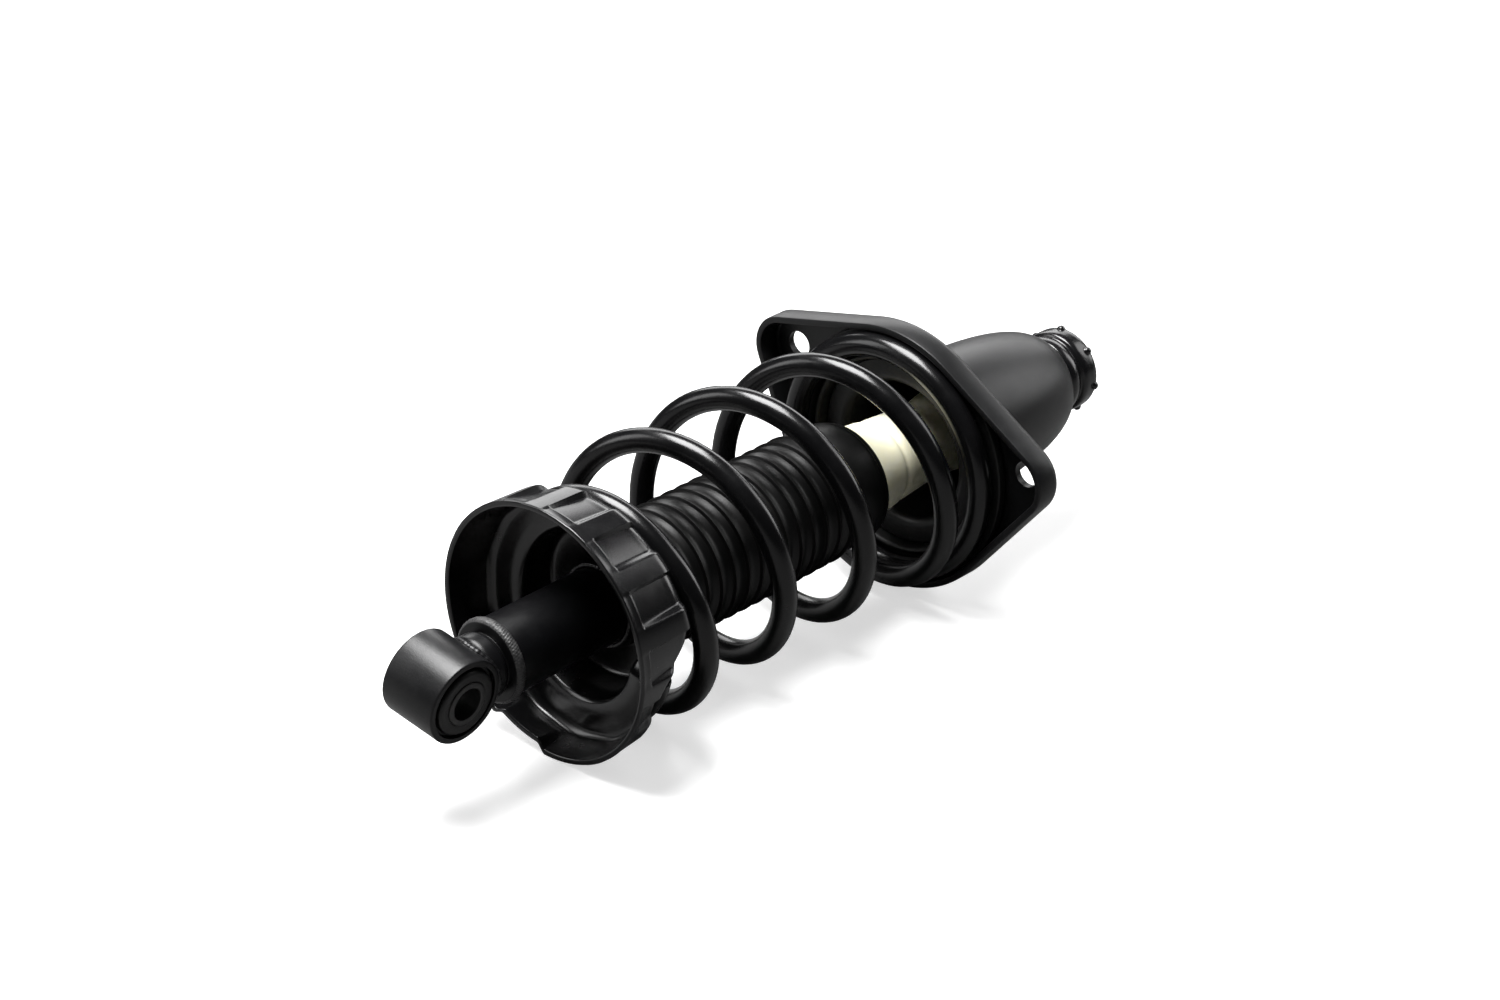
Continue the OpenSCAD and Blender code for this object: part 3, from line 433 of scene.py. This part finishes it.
def lower_spring_seat():
    """One grid round the axis: wall, shoulder, helical seat face, pilot and collar, then back
    along the underside. The face climbs with the spring's end turn. Between its ribs the wall
    is pressed in above a plain band at the rim, deeper towards the shoulder."""
    a = np.linspace(0, 2 * np.pi, panel_count * 40, endpoint=False)
    w = ((a - tip_angle) / (2 * np.pi)) % 1
    hold = 0.92
    face = seat_face + lead * np.minimum(w, hold) * (1 - smooth((w - hold) / (1 - hold)))
    place_in_pitch = (a * panel_count / (2 * np.pi) + 0.47) % 1 - 0.5
    pressed = smooth((place_in_pitch - 0.17) / 0.05) + smooth((-0.16 - place_in_pitch) / 0.13)
    pressed_inside = 0.25 - 0.25 * np.cos(2 * np.pi * place_in_pitch)
    off = np.abs((a - dent_at + np.pi) % (2 * np.pi) - np.pi)
    dent = smooth((math.radians(16) - off) / math.radians(5))
    edge = face - shoulder
    rim_r = wall_r + rib_h + 0.2

    def wall(z, inside=0.0):
        up = (z - seat_rim) / (edge - seat_rim)
        panel = 0.75 * smooth((z - seat_rim - 4.8) / 0.9) + 1.5 * np.clip((up - 0.22) / 0.78, 0, 1)
        panel += 0.35 * np.clip(up / 0.1, 0, 1)
        depth = pressed * panel
        if inside:
            depth = 0.5 * up + pressed_inside * smooth((z - seat_rim) / 12)
        return rim_r - 0.9 * up - depth - dent_depth * dent * np.clip(1 - up, 0, 1) - inside

    def across(r, z):
        return np.stack([r + 0 * a, z + 0 * a], -1)

    low_z = [0.5, 0.9, 1.6, 2.6, 3.6, 4.4, 4.8, 5.0, 5.2, 5.45, 5.7, 6.0]
    rows = [seat_rim + k + 0 * a for k in low_z]
    rows += [seat_rim + 6 + k * (edge - seat_rim - 6) for k in np.linspace(0.1, 1, 10)]
    section = [across(wall(rows[0], 0.7), seat_rim), across(wall(rows[0], 0.2), seat_rim + 0.2)]
    section += [across(wall(z), z) for z in rows]
    turn = np.radians(np.linspace(8, 82, 10))

    def shoulder_row(b, inside):
        reach = wall(edge, inside) - shoulder_r
        return across(shoulder_r + reach * math.cos(b), edge + (shoulder - inside) * math.sin(b))

    section += [shoulder_row(b, 0.0) for b in turn]
    section += [across(shoulder_r, face), across(end_turn_r - 1, face),
                across(end_turn_r - 3, face), across(pilot_r + 2.6, face),
                across(pilot_r + 1.4, face + 0.15), across(pilot_r + 0.7, face + 0.6),
                across(pilot_r + 0.35, face + 1.4)]
    for k in np.linspace(0.1, 1, 6):
        section.append(across(pilot_r + 0.3 - 0.9 * k, face + 1.4 + (seat_top - 5.4 - face) * k))
    for b in np.radians(np.linspace(13, 90, 7)):
        section.append(across(pilot_r - 4 + 3.4 * math.cos(b), seat_top - 4 + 4 * math.sin(b)))
    bore = tube_r + 0.05
    section += [across(pilot_r - 9, seat_top), across(bore + 6, seat_top),
                across(bore + 2.2, seat_top), across(bore + 0.9, seat_top - 0.4),
                across(bore + 0.2, seat_top - 1.2),
                across(bore, seat_top - 2.2), across(bore, collar_low),
                across(bore + seat_t, collar_low), across(bore + seat_t, seat_top - seat_t - 2),
                across(bore + seat_t + 0.6, seat_top - seat_t - 0.8),
                across(bore + seat_t + 1.8, seat_top - seat_t),
                across(pilot_r - 9, seat_top - seat_t), across(pilot_r - 6, seat_top - seat_t)]
    under = np.maximum(face + 0.4, seat_top - 14)
    section += [across(pilot_r - seat_t - 1.9, seat_top - seat_t - 0.9),
                across(pilot_r - seat_t - 1.0, seat_top - seat_t - 2.6),
                across(pilot_r - seat_t - 0.7, under),
                across(pilot_r - seat_t - 0.2, face - seat_t + 1.9),
                across(pilot_r - seat_t + 0.9, face - seat_t + 0.6),
                across(pilot_r - 0.6, face - seat_t), across(end_turn_r - 3, face - seat_t),
                across(shoulder_r - 1, face - seat_t)]
    section += [shoulder_row(b, seat_t) for b in turn[::-1]]
    section += [across(wall(z, seat_t), z) for z in rows[::-1]]
    section += [across(wall(rows[0], seat_t - 0.2), seat_rim + 0.2),
                across(wall(rows[0], seat_t - 0.7), seat_rim)]
    grid = np.stack(section, 1)
    r, z = grid[..., 0], grid[..., 1]
    points = np.stack([r * np.cos(a)[:, None], axis_y + r * np.sin(a)[:, None], z], -1)
    return skin("seat_pressing", points, sharp=40)


place(lower_spring_seat(), "damper", "lower_spring_seat", "seat_paint", seat_coat)


def weld_bead(name, path, radius, ripples):
    """Bead along a closed path whose radius ripples:
    r (1 + 0.05 sin + 0.04 sin of a slower wave)."""
    k = np.linspace(0, 2 * np.pi, len(path), endpoint=False)
    size = radius * (1 + 0.05 * np.sin(ripples * k) + 0.04 * np.sin(round(0.37 * ripples) * k + 1))
    return swept(name, path, size, 14)


def circle_path(r, z):
    """Points of a level circle round the strut's axis."""
    k = np.linspace(0, 2 * np.pi, 240, endpoint=False)
    return np.stack([r * np.cos(k), axis_y + r * np.sin(k), z + 0 * k], -1)


place(weld_bead("seat_weld", circle_path(tube_r + 1.0, collar_low), 1.7, 60), "damper", None,
      "seat_paint", seat_coat)


# ---------------------------------------------------------------- mount flange

core_r = flange_high[1] - axis_y
ear_x = 66.5
ear_r = flange_high[0] - ear_x
sheet_t = 3.2
skirt_h = -flange_low[2]
bend_r = 4.5
hole_r = 6.0
dome_r = 34.6
throat_r = dome_r + 1.3


def flange_outline():
    """Points and outward directions round the flange: arcs of the core and of both ears, joined
    by the straight lines that touch them. A line's direction is the ear's own direction from
    the core, turned by the angle whose cosine is (core_r - ear_r) / distance."""
    reach = math.hypot(ear_x, axis_y)
    toward = math.atan2(-axis_y, ear_x)
    turn = math.acos((core_r - ear_r) / reach)
    low, high = toward - turn, toward + turn

    def arc(cx, cy, r, start, end, count):
        k = np.linspace(start, end, count)
        return np.stack([cx + r * np.cos(k), cy + r * np.sin(k), k], -1)

    def line(p, q, count):
        k = np.linspace(0, 1, count + 2)[1:-1, None]
        return p + (q - p) * k

    below = arc(0, axis_y, core_r, -math.pi / 2, low, 12)
    ear = arc(ear_x, 0, ear_r, low, high, 36)
    above = arc(0, axis_y, core_r, high, math.pi / 2, 24)
    half = np.concatenate([below, line(below[-1], ear[0], 10), ear, line(ear[-1], above[0], 10),
                           above])
    other = half[1:-1][::-1] * [-1, 1, -1] + [0, 0, math.pi]
    return np.concatenate([half, other])


def mount_flange():
    """Grid of the outline by a section that runs up the skirt, over the bend, in to the throat
    and back along the underside; then the two mounting holes are cut through it."""
    places = flange_outline()
    x, y, k = places[:, 0], places[:, 1], places[:, 2]
    normal = np.stack([np.cos(k), np.sin(k)], -1)
    inward = places[:, :2] - [0, axis_y]
    inward /= np.linalg.norm(inward, axis=1)[:, None]
    b = np.radians(np.linspace(0, 90, 9))
    outside = np.concatenate([[[0.8, -skirt_h], [0.25, -skirt_h + 0.2], [0, -skirt_h + 0.8]],
                              np.stack([bend_r * (1 - np.cos(b)), bend_r * (np.sin(b) - 1)], -1)])
    inner_r = bend_r - sheet_t
    b = b[::-1]
    inside = np.concatenate([
        np.stack([bend_r - inner_r * np.cos(b), -bend_r + inner_r * np.sin(b)], -1),
        [[sheet_t, -skirt_h + 0.8], [sheet_t - 0.25, -skirt_h + 0.2], [sheet_t - 0.8, -skirt_h]]])

    def along_edge(p):
        return np.stack([x - p[0] * normal[:, 0], y - p[0] * normal[:, 1], p[1] + 0 * x], -1)

    def along_throat(r, z):
        return np.stack([r * inward[:, 0], axis_y + r * inward[:, 1], z + 0 * x], -1)

    points = np.stack([along_edge(p) for p in outside]
                      + [along_throat(throat_r + 0.4, 0), along_throat(throat_r, -0.4),
                         along_throat(throat_r, 0.4 - sheet_t),
                         along_throat(throat_r + 0.4, -sheet_t)]
                      + [along_edge(p) for p in inside], 1)
    piece = skin("flange_pressing", points, sharp=60)
    for side in (-1, 1):
        cut_hole(piece, side * ear_x, 0, hole_r)
    piece.data.shade_smooth()
    piece.data.set_sharp_from_angle(angle=math.radians(30))
    return piece


def cut_hole(piece, x, y, r):
    """Cuts an upright round hole through a level sheet."""
    k = np.linspace(0, 2 * np.pi, 64, endpoint=False)
    ring = np.stack([x + r * np.cos(k), y + r * np.sin(k)], -1)
    low, top = -sheet_t - 2, 2
    levels = [np.column_stack([ring, np.full(64, z)]) for z in (low, top)]
    points = np.stack([np.tile([x, y, low], (64, 1)), *levels, np.tile([x, y, top], (64, 1))], 1)
    drill = skin("drill", points, sharp=30)
    cut = piece.modifiers.new("hole", "BOOLEAN")
    cut.operation = "DIFFERENCE"
    cut.solver = "EXACT"
    cut.object = drill
    finished = bpy.data.meshes.new_from_object(
        piece.evaluated_get(bpy.context.evaluated_depsgraph_get()))
    piece.modifiers.clear()
    piece.data = finished
    bpy.data.objects.remove(drill)


place(mount_flange(), "mount", "mount_flange", "mount_paint", powder_coat)


# ---------------------------------------------------------------- dome and cap

dome_h = 92.5
dome_power = 2.48
neck_r = 15.0
dome_t = 2.8
foot_bend = 1.2
foot_r = (dome_high[0] - dome_low[0]) / 2


def mount_dome():
    """Turned bell: r = neck + (base - neck) cos^(2/p), z = height sin^(2/p), with a short neck on
    top and a flat foot that reaches out under the flange."""
    top = dome_high[2]
    a = np.radians(np.linspace(7, 89, 60))

    def bell(t):
        return np.stack([neck_r - t + (dome_r - neck_r) * np.cos(a) ** (2 / dome_power),
                         (dome_h - t) * np.sin(a) ** (2 / dome_power)], -1)

    b = np.radians(np.linspace(0, 90, 7))
    out, low = dome_r + foot_bend, dome_low[2]
    bend = np.stack([out - foot_bend * np.cos(b), low + dome_t + foot_bend * (1 - np.sin(b))], -1)
    under = foot_bend + dome_t
    inside = np.stack([out - under * np.cos(b), low + under * (1 - np.sin(b))], -1)
    neck = rounded([(neck_r, dome_h + 0.2), (neck_r, top, 0.8), (neck_r - dome_t, top, 0.5),
                    (neck_r - dome_t, dome_h - dome_t)], closed=False)
    foot = rounded([(out + 0.5, low), (foot_r, low, 0.6), (foot_r, low + dome_t, 0.6),
                    (out + 0.5, low + dome_t)], closed=False)
    profile = np.concatenate([foot, bend[::-1], bell(0), neck, bell(dome_t)[::-1], inside])
    return turned("dome_pressing", profile, 180)


place(mount_dome(), "mount", "mount_dome", "mount_paint", powder_coat)

bead_count = 7
bead_r = 2.0


def top_cap():
    """Turned cap: a foot ring, a waist and a broad ring whose crown falls by 0.5 k^4, with k from
    -1 to 1 across its width. Round beads stand on the broad ring near its far edge:
    sqrt(r^2 - s^2 - h^2) with s and h the distances from a bead's middle along the ring and
    across it."""
    low, top = cap_low[2], cap_high[2]
    foot, waist, ring = neck_r + 3.9, neck_r + 2.4, neck_r + 4.4
    ceiling = dome_high[2] + 0.1
    k = np.linspace(-1, 1, 30)
    crown_low, crown_top = low + 8.6, top - 1.4
    crown_z = (crown_low + crown_top + k * (crown_top - crown_low)) / 2
    crown = np.stack([ring - 0.5 * k ** 4, crown_z], -1)
    below = rounded([
        (neck_r + 0.3, low, 0.3), (foot - 0.6, low, 1.0), (foot, low + 2.6, 2.4),
        (foot - 0.5, low + 5.2, 1.4), (waist, low + 6.4, 1.2), (waist, low + 7.6, 0.8),
        (ring - 0.9, low + 8.2)], steps=7, closed=False)
    above = rounded([
        (ring - 0.9, crown_top + 0.6), (ring - 2.2, top - 0.1, 0.8), (ring - 3.6, top, 1.0),
        (ring - 5.0, top - 0.2, 0.8), (ring - 5.6, top - 1, 0.6), (0, top - 1),
        (0, ceiling), (neck_r + 0.3, ceiling, 0.4), (neck_r + 0.3, low + 2)], steps=7, closed=False)
    profile = np.concatenate([below, crown, above])
    sides = bead_count * 44
    points = turned_points(profile, sides)
    a = np.linspace(0, 2 * np.pi, sides, endpoint=False)[:, None]
    r = np.broadcast_to(profile[:, 0], (sides, len(profile)))
    z = profile[:, 1][None]
    s = ring * np.abs((a * bead_count / (2 * np.pi) + 0.5) % 1 - 0.5) * 2 * np.pi / bead_count
    h = z - (crown_top - 1.6)
    stand = np.sqrt(np.clip(bead_r ** 2 - s ** 2 - h ** 2, 0, None)) * (r > ring - 1.2)
    lift = np.maximum(r, np.where(stand > 0, ring - 0.4 + stand, 0)) - r
    points[..., 0] += lift * np.cos(a)
    points[..., 1] += lift * np.sin(a)
    return skin("cap_moulding", points, sharp=45)


place(top_cap(), "cap", "top_cap", "cap_plastic", cap_rubber)


# ---------------------------------------------------------------- bump stop and its cup

rod_r = 6.2
cup_low, cup_high = span("cup_washer")


def bump_stop():
    """Turned foam stop: a ring for the boot's lip, a shallow groove, a waist and a flared top."""
    low, top = stop_low[2], stop_high[2]
    lip = boot_high[2]
    waist = low + 58
    return turned("bump_foam", rounded([
        (rod_r + 0.1, low, 0.5), (stop_r - 3.2, low, 1.4), (stop_r - 1, low + 2.4, 1.6),
        (stop_r - 1, lip - 3.6, 0.2), (stop_r - 2.2, lip - 3.6, 0.2),
        (stop_r - 2.2, lip + 0.1, 0.2), (stop_r - 0.6, lip + 0.1, 0.8),
        (stop_r, lip + 1.2, 0.9), (stop_r - 1.55, low + 25.5, 2.2),
        (stop_r - 3.3, low + 28, 2.0), (stop_r - 2.3, low + 30.5, 2.2), (17.6, waist - 5, 4),
        (17.2, waist, 5), (17.8, waist + 6, 4), (19.1, waist + 13, 3), (19.3, top - 1.4, 1.4),
        (18.2, top, 1.0), (rod_r + 0.1, top, 0.5)], steps=8))


place(bump_stop(), "mount", "bump_stop", "bump_foam", stop_foam)


def cup_washer():
    """Turned pressed cup with a rolled rim."""
    low, top = cup_low[2], cup_high[2]
    plate = top - 2.5
    r = (cup_high[0] - cup_low[0]) / 2
    return turned("cup_pressing", rounded([
        (5.1, plate, 0.3), (r - 3.4, plate, 1.2), (r - 2.4, plate - 1.2, 1.0),
        (r - 1.8, low + 0.6, 1.0), (r - 0.9, low, 0.6), (r, low + 0.4, 0.6),
        (r - 0.2, plate - 0.6, 2.4), (r - 2.8, top, 1.6), (5.1, top, 0.3)], steps=6))


place(cup_washer(), "mount", "cup_washer", "cup_steel", cup_enamel)

pad_low, pad_high = span("upper_spring_pad")


def upper_spring_pad():
    """Turned rubber ring under the flange, with a lip inside the spring's top turn."""
    outer = (pad_high[0] - pad_low[0]) / 2
    face = pad_low[2] + 3
    inner = coil_r - wire_r - 3
    return turned("spring_pad", rounded([
        (inner, -sheet_t, 0.6), (inner, face - 2, 1.2), (inner + 1, face - 3, 0.9),
        (inner + 2, face - 3, 0.9), (inner + 2.8, face, 1.2), (outer, face, 1.0),
        (outer, -4.6, 0.6), (outer - 1.3, -sheet_t, 0.6)], steps=6))


place(upper_spring_pad(), "mount", "upper_spring_pad", "pad_rubber", pad_rubber)


# ---------------------------------------------------------------- damper tube and lower eye

tube_in_r = tube_r - 1.6
neck_foot_r = 14.2
foot_ring_r = tube_r + 1.7
foot_ring_low = tube_low[2] - 4.4


def reserve_tube():
    """Turned tube, rolled in at the top."""
    low, top = tube_low[2], tube_high[2]
    return turned("damper_tube", rounded([
        (tube_in_r, low), (tube_r, low, 0.2), (tube_r, top, 0.4),
        (10.2, top), (10.2, top - 1.5), (tube_in_r, top - 1.5)], steps=8))


place(reserve_tube(), "damper", "reserve_tube", "tube_paint", tube_enamel)


def tube_foot():
    """Turned plug and neck, whose lower end is coped to the eye: a point inside the eye's own
    cylinder is lifted to its surface, z = eye_z + sqrt(eye_r^2 - y^2)."""
    low = eye_z + 8
    tube_end = tube_low[2]
    profile = rounded([
        (0, low), (neck_foot_r - 2.2, low), (neck_foot_r - 1.6, eye_z + eye_r - 4, 1.5),
        (neck_foot_r, eye_z + eye_r - 2.2, 1.5), (neck_foot_r, foot_ring_low - 2.4, 1.0),
        (neck_foot_r - 1.5, foot_ring_low - 1.2, 0.8), (neck_foot_r - 1.6, foot_ring_low, 0.4),
        (foot_ring_r - 1.5, foot_ring_low, 0.3), (foot_ring_r - 0.6, foot_ring_low + 0.8, 0.5),
        (foot_ring_r - 0.6, tube_end - 0.3, 0.5), (tube_r - 0.3, tube_end, 0.1),
        (tube_in_r - 0.1, tube_end), (tube_in_r - 0.1, tube_end + 3), (0, tube_end + 3)],
        steps=6, closed=False)
    extra = [profile[:1] + (profile[1] - profile[0]) * k for k in np.linspace(0, 0.97, 12)]
    profile = np.concatenate([*extra, profile[1:]])
    points = turned_points(profile, 180)
    away = points[..., 1] - axis_y
    clear = eye_r + 0.05
    surface = eye_z + np.sqrt(np.clip(clear ** 2 - away ** 2, 0, None))
    points[..., 2] = np.where(np.abs(away) < clear, np.maximum(points[..., 2], surface),
                              points[..., 2])
    return skin("foot_neck", points, loop_v=False, sharp=42)


place(tube_foot(), "damper", "tube_foot", "tube_paint", tube_enamel)


def foot_weld():
    """Weld that closes the tube's end: a ring whose outside swells and dips in a fine ripple."""
    profile = rounded([
        (tube_r - 0.8, foot_ring_low + 0.3), (foot_ring_r - 1.3, foot_ring_low, 0.6),
        (foot_ring_r, foot_ring_low + 1.1, 1.3), (foot_ring_r, tube_low[2] - 0.8, 1.2),
        (foot_ring_r - 0.9, tube_low[2] + 0.3, 0.7), (tube_r - 0.8, tube_low[2] + 0.3)], steps=9)
    points = turned_points(profile, 480)
    a = np.linspace(0, 2 * np.pi, 480, endpoint=False)[:, None]
    depth = np.clip((profile[:, 0] - tube_r + 0.4) / 1.2, 0, 1)[None]
    z = profile[:, 1][None]
    lift = depth * (0.07 * np.sin(96 * a + 2.0 * z) + 0.05 * np.sin(61 * a - 3.1 * z)
                    + 0.05 * np.sin(23 * a + 1.3 * z) - 0.1)
    points[..., 0] += lift * np.cos(a)
    points[..., 1] += lift * np.sin(a)
    return skin("foot_weld", points, sharp=60)


def eye_weld():
    """Weld between the neck and the eye, along the curve where the two cylinders meet."""
    k = np.linspace(0, 2 * np.pi, 260, endpoint=False)
    r = neck_foot_r - 1.3
    y = r * np.sin(k)
    z = eye_z + np.sqrt(eye_r ** 2 - y ** 2) + 0.2
    x = np.clip(r * np.cos(k), -eye_half + 1.2, eye_half - 1.2)
    return weld_bead("eye_weld", np.stack([x, axis_y + y, z], -1), 1.7, 40)


eye_half = (eye_high[0] - eye_low[0]) / 2
place(foot_weld(), "damper", None, "tube_paint", weld_scale)
place(eye_weld(), "damper", None, "eye_paint", eye_enamel)

eye_t = 2.6
sleeve_low, sleeve_high = span("eye_sleeve")
sleeve_half = (sleeve_high[0] - sleeve_low[0]) / 2
sleeve_r = (sleeve_high[2] - sleeve_low[2]) / 2
bolt_r = 7.05
bush_face_r = 14.4


def lower_eye():
    """Short tube across the strut with bevelled ends."""
    return turned_across("eye_ring", rounded([
        (eye_r - eye_t, -eye_half, 0.4), (eye_r, -eye_half, 0.9), (eye_r, eye_half, 0.9),
        (eye_r - eye_t, eye_half, 0.4)], steps=6))


def eye_bush():
    """Rubber between the eye and its sleeve: a raised face round the sleeve stands over a
    groove inside the eye's edge."""
    outer, inner, face = eye_r - eye_t - 0.03, sleeve_r + 0.06, sleeve_half - 0.4
    half = [(inner, face - 0.2, 0.3), (inner + 1.2, face, 0.8), (bush_face_r - 0.9, face, 0.8),
            (bush_face_r, face - 0.9, 0.8), (bush_face_r + 0.1, eye_half - 2.2, 0.5),
            (outer, eye_half - 2.2, 0.4)]
    other = [(r, -x, rounding) for r, x, rounding in half[::-1]]
    return turned_across("bush_rubber_ring", rounded((half + other)[::-1], steps=6))


def eye_sleeve():
    """Steel sleeve with faced, bevelled ends."""
    return turned_across("bush_sleeve_tube", rounded([
        (bolt_r, -sleeve_half, 0.5), (sleeve_r, -sleeve_half, 0.6), (sleeve_r, sleeve_half, 0.6),
        (bolt_r, sleeve_half, 0.5)], steps=5))


place(lower_eye(), "damper", "lower_eye", "eye_paint", eye_enamel)
place(eye_bush(), "damper", "eye_bush", "eye_rubber", eye_rubber)
place(eye_sleeve(), "sleeve", "eye_sleeve", "sleeve_steel", sleeve_steel)

plate_low, plate_high = span("strike_plate")


def strike_plate():
    """Turned cap pressed over the top of the tube."""
    low, top = plate_low[2], plate_high[2]
    r = (plate_high[0] - plate_low[0]) / 2
    return turned("strike_cap", rounded([
        (rod_r + 3, top - 1.6, 0.3), (tube_r + 0.03, top - 1.6), (tube_r + 0.03, low, 0.3),
        (r, low, 0.4), (r, top, 1.5), (rod_r + 3, top, 0.6)], steps=6))


place(strike_plate(), "damper", "strike_plate", "cup_steel", cup_enamel)


# ---------------------------------------------------------------- finishes of the CAD nodes

node_finishes = {
    "bush_shell": cup_enamel, "top_bush": pad_rubber, "bush_sleeve": bright_steel,
    "top_washer": bright_steel, "rod_nut": bright_steel, "piston_rod": rod_chrome,
    "rebound_stop": eye_rubber, "upper_shims": bright_steel, "lower_shims": bright_steel,
    "piston": grey_iron, "piston_band": band_resin, "piston_nut": bright_steel,
    "oil_seal": eye_rubber, "rod_guide": grey_iron, "working_cylinder": bright_steel,
    "foot_valve": grey_iron,
}
for name, material in node_finishes.items():
    nodes[name].data.materials.clear()
    nodes[name].data.materials.append(material)


# ---------------------------------------------------------------- stage, light and camera

# The strut lies on its side on a pale floor. The floor touches the seat's rim and the flange's
# round edge, and "down" is the direction from the strut's axis to those two places.
lie_angle = math.radians(80.3)
rim_r = wall_r + rib_h
lean = (core_r - rim_r) / (flange_low[2] - seat_rim)
down = np.array([math.cos(lie_angle), math.sin(lie_angle), -lean])
down /= np.linalg.norm(down)
touch = np.array([core_r * math.cos(lie_angle), axis_y + core_r * math.sin(lie_angle),
                  flange_low[2]])

camera_at = np.array([834.2, -868.7, -1140.8])
camera_aim = np.array([74.1, -71.4, -197.9])
camera_lens = 90.5


def look(place, aim, up):
    """Turned frame that looks from place to aim, with up towards the picture's top edge."""
    back = (place - aim) / np.linalg.norm(place - aim)
    right = np.cross(up, back)
    right /= np.linalg.norm(right)
    turn = Matrix(np.column_stack([right, np.cross(back, right), back]).tolist()).to_4x4()
    return Matrix.Translation(place * MM) @ turn


def camera():
    """Camera that looks along the strut from below its eye, with the whole strut in the frame."""
    data = bpy.data.cameras.new("camera")
    data.lens = camera_lens
    data.sensor_width = 36
    data.clip_start, data.clip_end = 0.05, 20
    made = bpy.data.objects.new("camera", data)
    made.matrix_world = look(camera_at, camera_aim, -down)
    bpy.context.scene.collection.objects.link(made)
    bpy.context.scene.camera = made


def lamp(name, offset, size, power):
    """Soft square lamp aimed at the middle of the strut. The offset is along the picture's right,
    away from the camera and up, in millimetres."""
    forward = camera_aim - camera_at
    level = forward - down * forward.dot(down)
    level /= np.linalg.norm(level)
    right = np.cross(level, -down)
    middle = np.array([0, axis_y, -130.0])
    at = middle + right * offset[0] + level * offset[1] - down * offset[2]
    data = bpy.data.lights.new(name, "AREA")
    data.shape = "RECTANGLE"
    data.size, data.size_y = size
    data.energy = power
    made = bpy.data.objects.new(name, data)
    made.matrix_world = look(at, middle, level if abs((at - middle).dot(level)) < 1 else -down)
    bpy.context.scene.collection.objects.link(made)


def floor():
    """Large level disc that the strut lies on. The picture sees it white with its shadow, and
    the strut sees a darker one that throws little light up. It is clear from behind, so that it
    hides nothing when the strut is seen from below."""
    a = np.linspace(0, 2 * np.pi, 96, endpoint=False)
    across = np.cross(down, [0, 0, 1.0])
    across /= np.linalg.norm(across)
    along = np.cross(across, down)
    middle = touch - 120 * along
    rim = middle + 2500 * (np.cos(a)[:, None] * across + np.sin(a)[:, None] * along)
    mesh = bpy.data.meshes.new("floor")
    order = list(range(96))
    mesh.from_pydata((rim * MM).tolist(), [], [order])
    made = bpy.data.objects.new("floor", mesh)
    bpy.context.scene.collection.objects.link(made)
    mesh.update()
    if Vector(mesh.polygons[0].normal).dot(Vector(-down)) < 0:
        mesh.flip_normals()
    paper = bpy.data.materials.new("white_floor")
    paper.use_nodes = True
    tree = paper.node_tree
    shader = tree.nodes["Principled BSDF"]
    shader.inputs["Roughness"].default_value = 0.6
    shader.inputs["Emission Color"].default_value = (1, 1, 1, 1)
    path = tree.nodes.new("ShaderNodeLightPath")
    glow = tree.nodes.new("ShaderNodeMath")
    glow.operation = "MULTIPLY"
    glow.inputs[1].default_value = 0.62
    tree.links.new(path.outputs["Is Camera Ray"], glow.inputs[0])
    tree.links.new(glow.outputs[0], shader.inputs["Emission Strength"])
    tree.links.new(blend_colour(tree, path.outputs["Is Camera Ray"], (0.13, 0.13, 0.13),
                                (0.52, 0.52, 0.52)), shader.inputs["Base Color"])
    clear = tree.nodes.new("ShaderNodeBsdfTransparent")
    pick = tree.nodes.new("ShaderNodeMixShader")
    side = tree.nodes.new("ShaderNodeNewGeometry")
    tree.links.new(side.outputs["Backfacing"], pick.inputs[0])
    tree.links.new(shader.outputs[0], pick.inputs[1])
    tree.links.new(clear.outputs[0], pick.inputs[2])
    tree.links.new(pick.outputs[0], tree.nodes["Material Output"].inputs["Surface"])
    mesh.materials.append(paper)


def world():
    """White behind everything in the picture, and a faint even light on the strut itself. Gloss
    sees the faint light too, so that black enamel stays black between its highlights."""
    made = bpy.data.worlds.new("studio")
    bpy.context.scene.world = made
    made.use_nodes = True
    tree = made.node_tree
    back = tree.nodes["Background"]
    back.inputs["Color"].default_value = (1, 1, 1, 1)
    path = tree.nodes.new("ShaderNodeLightPath")
    level = tree.nodes.new("ShaderNodeMapRange")
    level.inputs["To Min"].default_value = 0.03
    level.inputs["To Max"].default_value = 1.0
    tree.links.new(path.outputs["Is Camera Ray"], level.inputs["Value"])
    tree.links.new(level.outputs["Result"], back.inputs["Strength"])


camera()
floor()
world()
lamp("overhead", (-300, 100, 1300), (0.9, 0.8), 60)
lamp("behind", (150, 1400, 620), (1.8, 0.6), 13)
lamp("left_side", (-1100, 100, 500), (0.4, 0.7), 3.5)
lamp("right_side", (1000, 500, 500), (0.5, 0.8), 5)
bpy.context.scene.view_settings.view_transform = "Standard"
